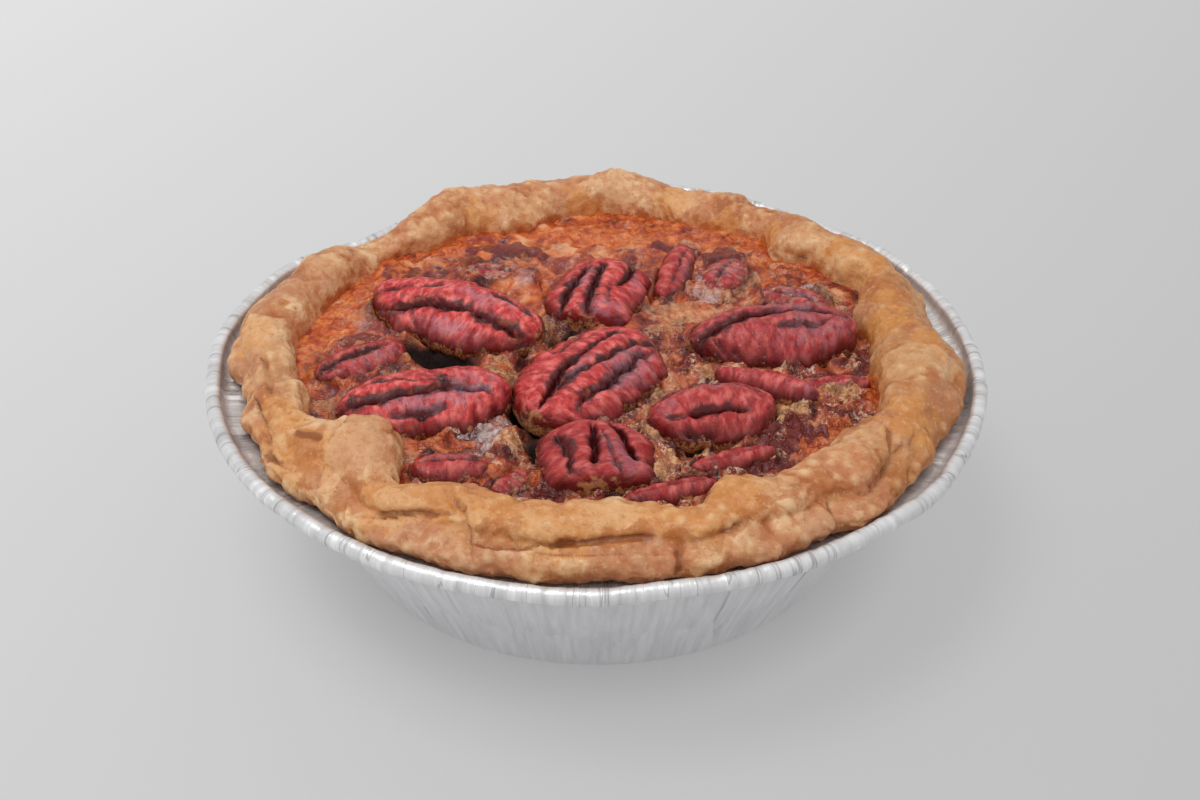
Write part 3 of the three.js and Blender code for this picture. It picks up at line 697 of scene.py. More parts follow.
def squeeze(angle, radius, height):
    """The pan's dents move the pastry with them, most at the rim and nothing near the base."""
    push = sum(amount * swell(angle, at, spread) for at, spread, amount in DENTS)
    outwards = smooth_step(BASE_RADIUS, EDGE_RADIUS, radius)
    upwards = (np.minimum(height, MOUTH_HEIGHT) / MOUTH_HEIGHT) ** 3
    return radius + push * outwards * upwards


def to_place(angle, radius, height):
    turn = np.radians(angle)
    return np.stack([radius * np.cos(turn), radius * np.sin(turn), height], axis=1)


def turned(name, sides, section):
    """A skin made by spinning the section round the Z axis, open at the section's two ends."""
    clear_selection()
    bpy.ops.mesh.primitive_plane_add(size=MM, location=(0, 0, 0))
    piece = bpy.context.object
    piece.name = name
    edit(piece)
    bpy.ops.mesh.select_all(action="SELECT")
    bpy.ops.mesh.merge(type="CENTER")
    radius, height = section[0]
    bpy.ops.transform.translate(value=(radius * MM, 0, height * MM))
    for ring in section[1:]:
        step = ((ring[0] - radius) * MM, 0, (ring[1] - height) * MM)
        bpy.ops.mesh.extrude_region_move(TRANSFORM_OT_translate={"value": step})
        radius, height = ring
    bpy.ops.mesh.select_all(action="SELECT")
    bpy.ops.mesh.spin(steps=sides // 8, angle=math.tau / 8, center=(0, 0, 0), axis=(0, 0, 1))
    for turn in (math.tau / 8, math.tau / 4, math.tau / 2):
        bpy.ops.mesh.select_all(action="SELECT")
        bpy.ops.mesh.duplicate()
        bpy.ops.transform.rotate(value=turn, orient_axis="Z", center_override=(0, 0, 0))
    bpy.ops.mesh.select_all(action="SELECT")
    bpy.ops.mesh.remove_doubles(threshold=0.001 * MM)
    leave_edit()
    return piece


def close_ends(piece):
    """Closes the two round openings of a turned skin, each with a flat face."""
    select_openings(piece)
    leave_edit()
    rim = np.empty(len(piece.data.vertices), bool)
    piece.data.vertices.foreach_get("select", rim)
    height = points_of(piece)[:, 2]
    middle = (height[rim].min() + height[rim].max()) / 2
    for end in (rim & (height < middle), rim & (height > middle)):
        select_points(piece, end)
        bpy.ops.mesh.edge_face_add()
        leave_edit()
    faces_out(piece)


def ring_of(points, section):
    """Which ring of the section each vertex belongs to."""
    radius = np.hypot(points[:, 0], points[:, 1])
    rings = np.array(section)
    away = (radius[:, None] - rings[:, 0]) ** 2 + (points[:, 2][:, None] - rings[:, 1]) ** 2
    return away.argmin(axis=1)


def smooth_shade(piece):
    choose(piece)
    bpy.ops.object.shade_smooth()


# ------------------------------------------------------------------ foil pan


def pan_section():
    """The pan's skin: base, wall, flange and curl outside, then back inside."""
    section = [(BASE_RADIUS - 2.6, 0), (BASE_RADIUS - 1.8, 0), (BASE_RADIUS - 0.6, 0.35)]
    for step in range(13):
        share = step / 12
        radius = mix(BASE_RADIUS, MOUTH_RADIUS, share)
        section.append((radius, mix(BASE_CORNER, MOUTH_HEIGHT, share)))
    section += [(MOUTH_RADIUS + 0.9, 28.35), (58.8, 28.62), (60.6, 28.85)]
    for step in range(15):
        turn = math.radians(mix(-125, 180, step / 14))
        radius = CURL_CENTRE[0] + CURL_RADIUS * math.cos(turn)
        section.append((radius, CURL_CENTRE[1] + CURL_RADIUS * math.sin(turn)))
    section += [(60.6, 29.35), (59.6, 29.1), (58.4, 28.9), (57.2, 28.7), (56.4, 28.3)]
    section += [(MOUTH_RADIUS - FOIL, MOUTH_HEIGHT), (50, 15), (BASE_RADIUS - 0.4, 1.3)]
    section += [(BASE_RADIUS - 1.4, 0.35), (BASE_RADIUS - 2.6, FOIL)]
    return section


def ridges(draw, count, widths, heights, crowd=()):
    """Many narrow ridges at random angles, as a table over the full turn. crowd lists stretches
    of angle that get more of them."""
    turn = np.arange(0, 360, 0.05)
    table = np.zeros_like(turn)
    places = list(draw.uniform(0, 360, count))
    for start, end, extra in crowd:
        places += list(draw.uniform(start, end, extra))
    for at in places:
        width = draw.uniform(*widths)
        away = (turn - at + 180) % 360 - 180
        table += draw.uniform(*heights) * np.exp(-((away / width) ** 2))
    return lambda angle: np.interp(angle % 360, turn, table, period=360)


def wall_folds(angle, height):
    """The creases pressed into the wall: how far each place moves out, and how dark the painted
    shade along each crease makes it.
    """
    flat = np.stack([np.radians(angle) * WALL_RADIUS, height, 0 * angle], axis=1)
    push = np.zeros_like(angle)
    crease_shade = np.zeros_like(angle)
    for depth, reach, path in WALL_CREASES:
        line = smooth_path([(math.radians(at) * WALL_RADIUS, up, 0) for at, up in path])
        near = np.abs(flat[:, 0] - line[:, 0].mean()) < 12
        away, share, gap, _ = path_distance(flat[near], line)
        fade = smooth_step(0, 0.25, share) * smooth_step(1, 0.75, share)
        valley = np.exp(-((away / reach) ** 2))
        bank = np.exp(-(((gap[:, 0] - 1.6 * reach) / (1.6 * reach)) ** 2))
        # a valley stays shallower than the foil's thickness
        push[near] += fade * (0.4 * depth * bank - min(depth, 0.7 * FOIL) * valley)
        # a thin line of painted shade along each crease, standing in for the shade of a deeper
        # valley
        tone = fade * np.exp(-((away / 0.2) ** 2)) * min(1, (depth / 0.42) ** 1.8)
        crease_shade[near] = np.maximum(crease_shade[near], tone)
    return push, crease_shade


def foil_pan():
    section = pan_section()
    pan = turned("foil_pan_pressed", PAN_SIDES, section)
    points = points_of(pan)
    angle = angle_of(points)
    radius = np.hypot(points[:, 0], points[:, 1])
    height = points[:, 2].copy()
    draw = np.random.default_rng(11)
    runs = np.linalg.norm(np.diff(np.array(section), axis=0), axis=1)
    along = np.concatenate([[0], np.cumsum(runs)])[ring_of(points, section)]

    # the wall's flutes and creases
    wall = smooth_step(2, 8, height) * smooth_step(57.2, 55.6, radius)
    flutes = ridges(draw, 130, (0.4, 2.0), (-0.09, 0.09))
    lean = angle + (height - 14) * 0.25
    fold, crease_shade = wall_folds(angle, height)
    flute = (flutes(lean) * smooth_step(4, 22, height) + fold) * wall

    # the flange's pleats
    pleats = ridges(draw, 210, (0.25, 0.8), (-0.16, 0.24), crowd=[(180, 240, 45), (300, 372, 50)])
    flange = smooth_step(56.0, 57.6, radius) * smooth_step(61.6, 60.4, radius)

    # the curl's nicks, and how the rim waves up and down
    nicks = ridges(draw, 110, (0.30, 0.8), (-0.13, 0.02), crowd=[(286, 372, 50), (20, 80, 20)])
    curl = smooth_step(60.7, 61.4, radius)
    around = np.arctan2(height - CURL_CENTRE[1], radius - CURL_CENTRE[0])
    nick = nicks(angle + 1.1 * np.sin(around)) * curl
    push = nick + 0.09 * grain(points, 3.0) * curl
    waves = 0.22 * np.sin(np.radians(angle * 5 + 40)) + 0.12 * np.sin(np.radians(angle * 13))

    radius = squeeze(angle, radius, height) + flute + push * np.cos(around)
    lift = push * np.sin(around) + pleats(angle) * flange + waves * smooth_step(57, 61, radius)
    move_points(pan, to_place(angle, radius, height + lift))
    unroll(pan, angle, along)
    close_ends(pan)
    set_mask(pan, "rim", np.maximum(flange, curl))
    # the pressed mask carries the painted shade along the wall's creases
    set_mask(pan, "pressed", crease_shade * wall)

    # baked syrup on the curl's inner side
    sticky = ridges(draw, 26, (1.5, 6.0), (0.3, 1.0), crowd=[(160, 225, 8), (345, 375, 6)])(angle)
    inner = np.exp(-(((around - 2.4) % math.tau) / 0.7) ** 2) * curl
    set_mask(pan, "sticky", sticky * np.maximum(inner, 0.12 * flange))
    smooth_shade(pan)
    return pan


def unroll(pan, angle, along):
    """The pan's UV map: the length round the pan, and the length along its section."""
    corners = corner_points(pan)
    turn = (angle[corners] - MAP_SEAM) % 360
    sizes = np.empty(len(pan.data.polygons), np.int32)
    pan.data.polygons.foreach_get("loop_total", sizes)
    face = np.repeat(np.arange(len(sizes)), sizes)
    low = np.full(len(sizes), 360.0)
    np.minimum.at(low, face, turn)
    high = np.zeros(len(sizes))
    np.maximum.at(high, face, turn)
    wraps = (high - low)[face] > 180
    turn[wraps & (turn < 180)] += 360
    set_uv(pan, np.stack([np.radians(turn) * MAP_RADIUS, along[corners]], axis=1))


# ------------------------------------------------------------------ crust


def folded(angle, which):
    return sum(fold[which] * swell(angle, fold[0], fold[1]) for fold in FOLDS)


def crust_rings(angle):
    """Radius and height of each ring of the pastry at these angles: out along its floor, up the
    wall, round the roll and down inside to its floor again."""
    lip = LIP_RADIUS + folded(angle, LIP)
    crest = CREST_RADIUS + folded(angle, CREST)
    edge = EDGE_RADIUS + folded(angle, EDGE)
    top = CREST_HEIGHT + folded(angle, LIFT)
    groove = GROOVE_DEPTH * smooth_step(214, 230, angle) * smooth_step(334, 318, angle)
    roll = edge - crest
    same = np.ones_like(angle)
    return [
        (BASE_RADIUS - 3.5 * same, 0.5 * same),
        (BASE_RADIUS - 1.3 * same, 1.6 * same),
        (MOUTH_RADIUS - 0.9 * same, MOUTH_HEIGHT * same),
        (MOUTH_RADIUS + 0.4 * same, SHELF * same),
        (np.minimum(edge, CLEAR) - 1.4, (SHELF + 0.1) * same),
        (np.minimum(edge, CLEAR), (SHELF + 0.8) * same),
        (np.minimum(edge, CLEAR) + 0.3, (SHELF + 2.0) * same),
        (edge + 0.1, mix(SHELF, top, 0.42)),
        (edge - 0.12 * roll, mix(SHELF, top, 0.56)),
        (edge - 0.3 * roll - groove, mix(SHELF, top, 0.67) - 0.3 * groove),
        (edge - 0.38 * roll - 0.3 * groove, mix(SHELF, top, 0.8)),
        (edge - 0.52 * roll, mix(SHELF, top, 0.93)),
        (mix(edge, crest, 0.78), top + 0.1),
        (crest, top + 0.2),
        (crest - 0.3 * roll, top - 0.45),
        (mix(crest, lip, 0.70), mix(FILLING_EDGE, top, 0.78)),
        (lip + 0.3, mix(FILLING_EDGE, top, 0.46)),
        (lip, (FILLING_EDGE - 0.6) * same),
        (LIP_RADIUS - 1.0 + 0.6 * (lip - LIP_RADIUS), (FILLING_EDGE - 3) * same),
        ((BASE_RADIUS - 5) * same, 5.1 * same),
    ]


def crust():
    # spun with its rings a millimetre apart, so that each vertex's ring can be told
    flat = [(20.0 + ring, 0.0) for ring in range(len(crust_rings(np.zeros(1))))]
    crust_piece = turned("crust_pastry", CRUST_SIDES, flat)
    points = points_of(crust_piece)
    angle = angle_of(points)
    ring = ring_of(points, flat)
    rings = crust_rings(angle)
    radius = np.choose(ring, [radius for radius, _ in rings])
    height = np.choose(ring, [height for _, height in rings])
    move_points(crust_piece, to_place(angle, squeeze(angle, radius, height), height))
    faces_out(crust_piece)
    apply_modifier(crust_piece, "SUBSURF", levels=2, render_levels=2)
    knead(crust_piece)
    close_ends(crust_piece)
    smooth_shade(crust_piece)
    return crust_piece


def lap(points, normals):
    """The dough laid over itself along its creases, and how dark it is there, partly browning and
    partly painted shade.
    """
    brown_and_shade = np.zeros(len(points))
    for depth, reach, tone, path in CREASES:
        line = smooth_path(path)
        away, share, gap, heading = path_distance(points, line)
        side = np.sign((np.cross(heading, normals) * gap).sum(axis=1)) * away
        fade = smooth_step(0, 0.15, share) * smooth_step(1, 0.85, share)
        over = 0.55 * (1 - np.exp(np.minimum(side, 0) / 0.5)) * np.exp(np.minimum(side, 0) / reach)
        under = -np.exp(-np.maximum(side, 0) / (0.4 * reach))
        fade *= smooth_step(3 * reach, 1.5 * reach, away)
        step = depth * fade * mix(over, under, smooth_step(-0.45, 0.45, side))
        points = points + normals * step[:, None]
        line_tone = 0.8 * np.exp(-((side / 0.5) ** 2)) + 0.4 * np.exp(-(((side - 0.7) / 1.1) ** 2))
        brown_and_shade = np.maximum(brown_and_shade, tone * fade * line_tone)
    return points, brown_and_shade


def knead(crust_piece):
    """The pastry's lumps, laps, layers, blisters and pits, how it is baked, and its painted light
    and shade.
    """
    points = points_of(crust_piece)
    shown = smooth_step(28.5, 30.5, points[:, 2])
    normals = normals_of(crust_piece)
    push = 0.36 * grain(points, 8.0, 3, 1) + 0.22 * grain(points, 3.6, 2, 9)
    raised = 0.5 + 0.9 * push
    for x, y, z, reach, out in SWELLINGS:
        away = np.linalg.norm(points - (x, y, z), axis=1)
        push += out * np.exp(-((away / reach) ** 2))
    points, brown_and_shade = lap(points + normals * (push * shown)[:, None], normals)

    # thin layers of dough that end in small steps
    layer = (grain(points, 11.0, 3, 31) + 2) * 2.2
    layer -= np.floor(layer)
    flaky = smooth_step(-0.1, 0.5, grain(points, 12.0, 2, 32)) * shown
    steps = (smooth_step(0.0, 0.10, layer) - layer) * flaky
    layer_edge = np.exp(-(((layer + 0.5) % 1 - 0.5) / 0.10) ** 2) * flaky

    blister = dots(points, 2.6, 0.40, 3) * smooth_step(-0.2, 0.5, grain(points, 9.0, 2, 6))
    pit = dots(points, 3.0, 0.15, 4)
    small = 0.20 * grain(points, 1.9, 3, 2) + 0.24 * blister - 0.45 * pit + 0.34 * steps
    points = points + normals * (small * shown)[:, None]
    move_points(crust_piece, points)

    radius = np.hypot(points[:, 0], points[:, 1])
    foot = smooth_step(31.2, 29.9, points[:, 2] + 0.9 * grain(points, 2.0, 3, 33))
    foot *= smooth_step(50, 54, radius)
    browner = smooth_step(12, 50, points[:, 0] - 0.35 * np.abs(points[:, 1]))
    inner = smooth_step(52, 46, radius) * smooth_step(34.6, 31.8, points[:, 2])
    masks = {
        # raised: how high the dough stands, for painted light on the high parts and painted shade
        # in the dips
        "raised": raised + 1.6 * small,
        # browning and syrup at the foot, with painted shade in the creases, pits and layer edges
        "brown_and_shade": np.maximum.reduce([brown_and_shade, 0.7 * pit, 0.9 * foot, 0.35 * layer_edge]),
        "browner": browner * (0.8 + 0.4 * grain(points, 7.0, 2, 37)),
        "blister": blister,
        "syrup": inner * (0.75 + 0.5 * grain(points, 5.0, 2, 8)),
    }
    drift = np.stack([grain(points, 4, 2, seed) for seed in (34, 35, 36)], axis=1)
    warped = points + 1.5 * drift
    for name, (reach, places) in TINTS.items():
        near = sum(np.exp(-((warped - place) ** 2).sum(axis=1) / reach**2) for place in places)
        masks[name] = smooth_step(0.15, 0.85, near)
    for name, values in masks.items():
        set_mask(crust_piece, name, values)


# ------------------------------------------------------------------ filling


def nut_frame(nut, x, y):
    """Places along and across a nut, from -1 to 1 between its ends and its sides."""
    turn = math.radians(nut["turn"])
    long, wide, _ = nut["size"]
    dx, dy = x - nut["at"][0], y - nut["at"][1]
    along = (dx * math.cos(turn) + dy * math.sin(turn)) / (long / 2)
    across = (dy * math.cos(turn) - dx * math.sin(turn)) / (wide / 2)
    return along, across


def outside(nut, x, y):
    """Distance out from a nut's outline, negative inside it."""
    along, across = nut_frame(nut, x, y)
    power = 4.0 if nut.get("blunt") else 2.2
    reach = (np.abs(along) ** power + np.abs(across) ** power) ** (1 / power)
    half = np.hypot(along * nut["size"][0] / 2, across * nut["size"][1] / 2)
    return half * (1 - 1 / np.maximum(reach, 0.05))


def spread_of(x, y, oval):
    """1 in the middle of an oval place, 0.37 on its outline, 0 far off."""
    middle_x, middle_y, long, wide, heading = oval
    turn = math.radians(heading)
    along = ((x - middle_x) * math.cos(turn) + (y - middle_y) * math.sin(turn)) / long
    across = ((y - middle_y) * math.cos(turn) - (x - middle_x) * math.sin(turn)) / wide
    return np.exp(-(along**2) - across**2)


def seated(height, near, away, nut):
    """The custard's height round a nut: over it where it is filmed, else down under it."""
    inside = smooth_step(-0.4, -1.6, away)
    seat = nut["at"][2]
    if nut.get("film", 0.0) > 0.4:
        height = mix(height, seat + nut["size"][2] * 0.62, inside)
    else:
        height = mix(height, np.minimum(height, seat - 2.2), inside)
    return height, np.minimum(near, away)


def filling_surface(x, y):
    """The custard's height and its masks."""
    points = np.stack([x, y, np.zeros_like(x)], axis=1)
    out = np.hypot(x, y) / LIP_RADIUS
    drift = np.stack([grain(points, 4, 2, 5), grain(points, 4, 2, 6), 0 * x], axis=1)
    warped = points + 1.6 * drift
    warped_x, warped_y = warped[:, 0], warped[:, 1]
    masks = {
        kind: smooth_step(0.22, 0.5, sum(spread_of(warped_x, warped_y, oval) for oval in ovals))
        for kind, ovals in PATCHES.items()
    }
    froth = masks["froth"]
    masks["film"] = masks["film"] * (1 - 0.4 * froth)
    # the glossy part at the back and the left, also painted as lit: orange there and dark in front
    lit_glossy_back = smooth_step(-1.0, 0.9, (0.85 * y - 0.5 * x) / LIP_RADIUS)

    # folds, sharp where the custard is dull and soft where it is glossy, and the larger lumps
    folds = 0.4 - np.abs(grain(warped, 3.8, 3, 12))
    soft = 0.5 - 1.2 * np.abs(grain(warped, 5.5, 1, 22))
    lumps = 0.9 * grain(points, 7.0, 2, 7) + mix(folds, 1.3 * soft, 0.85 * lit_glossy_back)
    for oval in LUMPS:
        lumps = lumps + oval[5] * spread_of(warped_x, warped_y, oval[:5])
    height = FILLING_EDGE + DOME * (1 - out**2) + lumps * smooth_step(1.05, 0.92, out)

    # the custard climbs a little where it meets a nut
    near = np.full_like(x, 99.0)
    for nut in PECANS.values():
        height, near = seated(height, near, outside(nut, x, y), nut)
    beside = np.maximum(near, 0)
    climb = 0.9 + 0.9 * grain(points, 3.0, 2, 16)
    height += climb * np.exp(-((beside / 1.3) ** 2)) * smooth_step(-1.2, -0.2, near)

    # strings, grains and bubbles
    fine = grain(points, 1.4, 3, 10)
    strings = smooth_step(0.80, 1.0, 1 - np.abs(grain(warped, 2.2, 3, 13)))
    calm = smooth_step(0.5, -0.3, grain(points, 6.5, 2, 15))
    thread = np.clip(strings * (0.35 + 0.65 * calm) + 0.35 * froth, 0, 1)
    height += (0.34 * thread + 0.30 * fine) * (1 - 0.7 * lit_glossy_back)
    bubble = dots(points, 0.85, 0.34, 14)
    height -= 0.25 * bubble * froth

    # the cavities, drifted half as far as the patches, and painted near-black as shade
    hollow = np.zeros_like(x)
    for hollow_x, hollow_y, long, wide, heading, depth in HOLLOWS:
        oval = (hollow_x, hollow_y, long * 0.75, wide * 0.75, heading)
        hollow += depth * spread_of(mix(x, warped_x, 0.5), mix(y, warped_y, 0.5), oval)

    # painted shade: the cavities and the froth's bubbles darkened
    masks["hollow"] = smooth_step(0.6, 3.0, hollow) + 0.5 * bubble * froth
    masks["thread"] = thread
    masks["lit_glossy_back"] = np.clip(lit_glossy_back + 0.25 * grain(points, 6.0, 2, 21), 0, 1)
    # painted light: an amber rim along the back edge, only where the custard is painted as lit
    rim = smooth_step(0.80, 0.93, out + 0.05 * grain(points, 5, 2, 18))
    rim = rim * smooth_step(0.45, 0.8, lit_glossy_back) * (0.55 + 0.6 * grain(points, 4, 2, 19))
    masks["amber"] = np.maximum(masks["amber"], rim)
    # painted shade in the custard's dips and round the foot of each nut
    under = np.exp(-((beside / 0.7) ** 2)) * smooth_step(-0.3, 0.4, grain(points, 4.0, 2, 20))
    low = smooth_step(0.6, 1.8, 0.5 - 0.9 * lumps - 0.8 * fine)
    masks["sunk"] = 0.8 * np.maximum(low, under)
    return height - hollow, masks


def filling():
    clear_selection()
    span = 2 * (LIP_RADIUS + 4)
    steps = round(span / FILLING_STEP)
    bpy.ops.mesh.primitive_grid_add(x_subdivisions=steps, y_subdivisions=steps, size=span * MM)
    piece = bpy.context.object
    piece.name = "filling_custard"
    points = points_of(piece)
    angle = angle_of(points)
    lip = LIP_RADIUS + folded(angle, LIP)
    lip = squeeze(angle, lip, np.full_like(lip, FILLING_EDGE)) + FILLING_TUCK
    select_points(piece, np.hypot(points[:, 0], points[:, 1]) > lip)
    bpy.ops.mesh.delete(type="VERT")
    leave_edit()
    points = points_of(piece)
    points[:, 2], masks = filling_surface(points[:, 0], points[:, 1])
    move_points(piece, points)
    for name, values in masks.items():
        set_mask(piece, name, values)
    select_openings(piece)
    bpy.ops.mesh.extrude_region_move(TRANSFORM_OT_translate={"value": (0, 0, -20 * MM)})
    bpy.ops.transform.resize(value=(0.8, 0.8, 0), center_override=(0, 0, FILLING_FLOOR * MM))
    bpy.ops.mesh.extrude_region_move()
    bpy.ops.mesh.merge(type="CENTER")
    leave_edit()
    faces_out(piece)
    smooth_shade(piece)
    return piece


# ------------------------------------------------------------------ pecans


def nut_profile(nut, along):
    """Half the width of a nut along it, as a share of the widest."""
    square, tips = (5, (0.42, 0.42)) if nut.get("blunt") else (2.6, nut.get("tips", (0.55, 0.55)))
    return np.maximum(1 - np.abs(along) ** square, 0) ** np.where(along < 0, *tips)


def carved(nut, along, across):
    """How deep the grooves cut at a place on the nut's top, in mm, how dark the painted shade in
    them is, and how far the place is up the round ridge between them, from 0 to 1."""
    long, wide, _ = nut["size"]
    flat = np.stack([along * long / 2, across * wide / 2, 0 * along], axis=1)
    flat = flat + 0.4 * np.stack([0 * along, grain(flat, 2.4, 3, 31), 0 * along], axis=1)
    cut = np.zeros_like(along)
    crease_shade = np.zeros_like(along)
    ridge = np.ones_like(along)
    for depth, reach, path in nut["grooves"]:
        line = smooth_path([(u * long / 2, v * wide / 2, 0) for u, v in path])
        away, share, _, _ = path_distance(flat, line)
        fade = smooth_step(-0.04, 0.12, share) * smooth_step(1.04, 0.88, share)
        lean = np.clip(1 - away / (1.35 * reach), 0, 1)
        round_side = 1 - np.sqrt(1 - lean**2)
        slit = np.exp(-((away / 0.28) ** 2))
        cut = np.maximum(cut, depth * (0.9 * round_side + 0.3 * slit) * (0.3 + 0.7 * fade))
        # painted shade along each groove, darkest in its middle
        width = 0.16 + 0.12 * fade * depth
        stain_and_shade = np.exp(-((away / width) ** 2)) * (0.2 + 0.8 * fade) * min(1, depth / 1.6)
        crease_shade = np.maximum(crease_shade, stain_and_shade)
        ridge = np.minimum(ridge, 1 - lean * min(1, depth / 1.2) * (0.5 + 0.5 * fade))
    return cut, crease_shade, ridge


def pecan(name, nut, seed):
    long, wide, rise = nut["size"]
    rings = max(24, round(long / NUT_STEP))
    sides = max(24, round(2.4 * wide / NUT_STEP))
    clear_selection()
    bpy.ops.mesh.primitive_uv_sphere_add(segments=sides, ring_count=rings, radius=1)
    piece = bpy.context.object
    piece.name = "nut_" + name
    edit(piece)
    bpy.ops.mesh.select_all(action="SELECT")
    bpy.ops.transform.rotate(value=math.pi / 2, orient_axis="Y", center_override=(0, 0, 0))
    leave_edit()
    unit = points_of(piece) * MM
    along = np.clip(unit[:, 0], -1, 1)
    around = np.arctan2(unit[:, 2], unit[:, 1])
    across = np.cos(around)

    # the outline, a little uneven on each side
    profile = nut_profile(nut, along)
    side = np.stack([along * long / 2, np.sign(across) * 9 + seed, 0 * along], axis=1)
    profile = profile * (1 + 0.13 * grain(side, 4.0, 3, seed) * np.abs(across))
    plump = np.sqrt(profile)
    place = np.stack([along * long / 2, across * profile * wide / 2, 0 * along], axis=1)

    # the domed top with its grooves and wrinkles, and the keel below
    cut, crease_shade, ridge = carved(nut, along, place[:, 1] * 2 / wide)
    dome = np.sqrt(np.maximum(0, 1 - 0.96 * across**2)) * np.maximum(np.sin(around), 0) ** 0.15
    lumps = 1 + 0.08 * grain(place, 5.0, 2, seed)
    upper = smooth_step(0.0, 0.5, np.sin(around))
    fine = grain(place * (1, 0.30, 1), 0.9, 2, seed + 1) + 0.7 * grain(place, 2.4, 3, seed + 2)
    furrows = 0.09 * fine + 0.20 * grain(place * (1, 0.28, 1), 2.6, 2, seed + 5)
    relief = furrows - cut * plump
    top = rise * plump * dome * lumps + relief * upper
    keel = -KEEL * plump * np.sqrt(np.maximum(0, 1 - across**2))
    place[:, 2] = np.where(unit[:, 2] > 0, top, keel)
    turn = Matrix.Rotation(math.radians(nut["turn"]), 3, "Z")
    roll = Matrix.Rotation(math.radians(nut.get("roll", 0)), 3, "X")
    move_points(piece, place @ np.array(turn @ roll).T + np.array(nut["at"]))

    # painted shade in the grooves
    set_mask(piece, "groove", crease_shade * upper)
    streaks = grain(place * (1, 0.28, 1), 2.6, 2, seed + 5)  # by now the place has its height
    # the ridge mask gives painted highlights on the ridge tops and painted shade towards the
    # grooves
    set_mask(piece, "ridge", ridge + 0.3 * streaks)
    # the foot: darkened partly as syrup-wet skin, partly as painted shade, and frothed with custard
    low = smooth_step(3.4, 0.0, place[:, 2] + 0.7 * grain(place, 1.8, 3, seed + 3))
    set_mask(piece, "low", low)
    # painted sheen: where a lilac sheen is painted on the skin
    lilac = 0 * along
    for u, v, half_u, half_v in nut.get("painted_sheen", ()):
        lilac += np.exp(-(((along - u) / half_u) ** 2) - ((across - v) / half_v) ** 2)
    set_mask(piece, "painted_sheen", lilac)
    set_mask(piece, "deep", 0 * along + nut.get("deep", 0.25))
    set_mask(piece, "end", smooth_step(0.86, 1.0, np.abs(along)))
    flat = np.stack([along * long / 2, across * wide / 2], axis=1)
    set_uv(piece, flat[corner_points(piece)])
    faces_out(piece)
    # painted shade on the sides that face away from the sky
    tilt = 1 - normals_of(piece)[:, 2] + 0.12 * grain(place, 1.6, 3, seed + 6)
    set_mask(piece, "flank", smooth_step(0.18, 0.75, tilt))
    smooth_shade(piece)
    return piece


# ------------------------------------------------------------------ materials


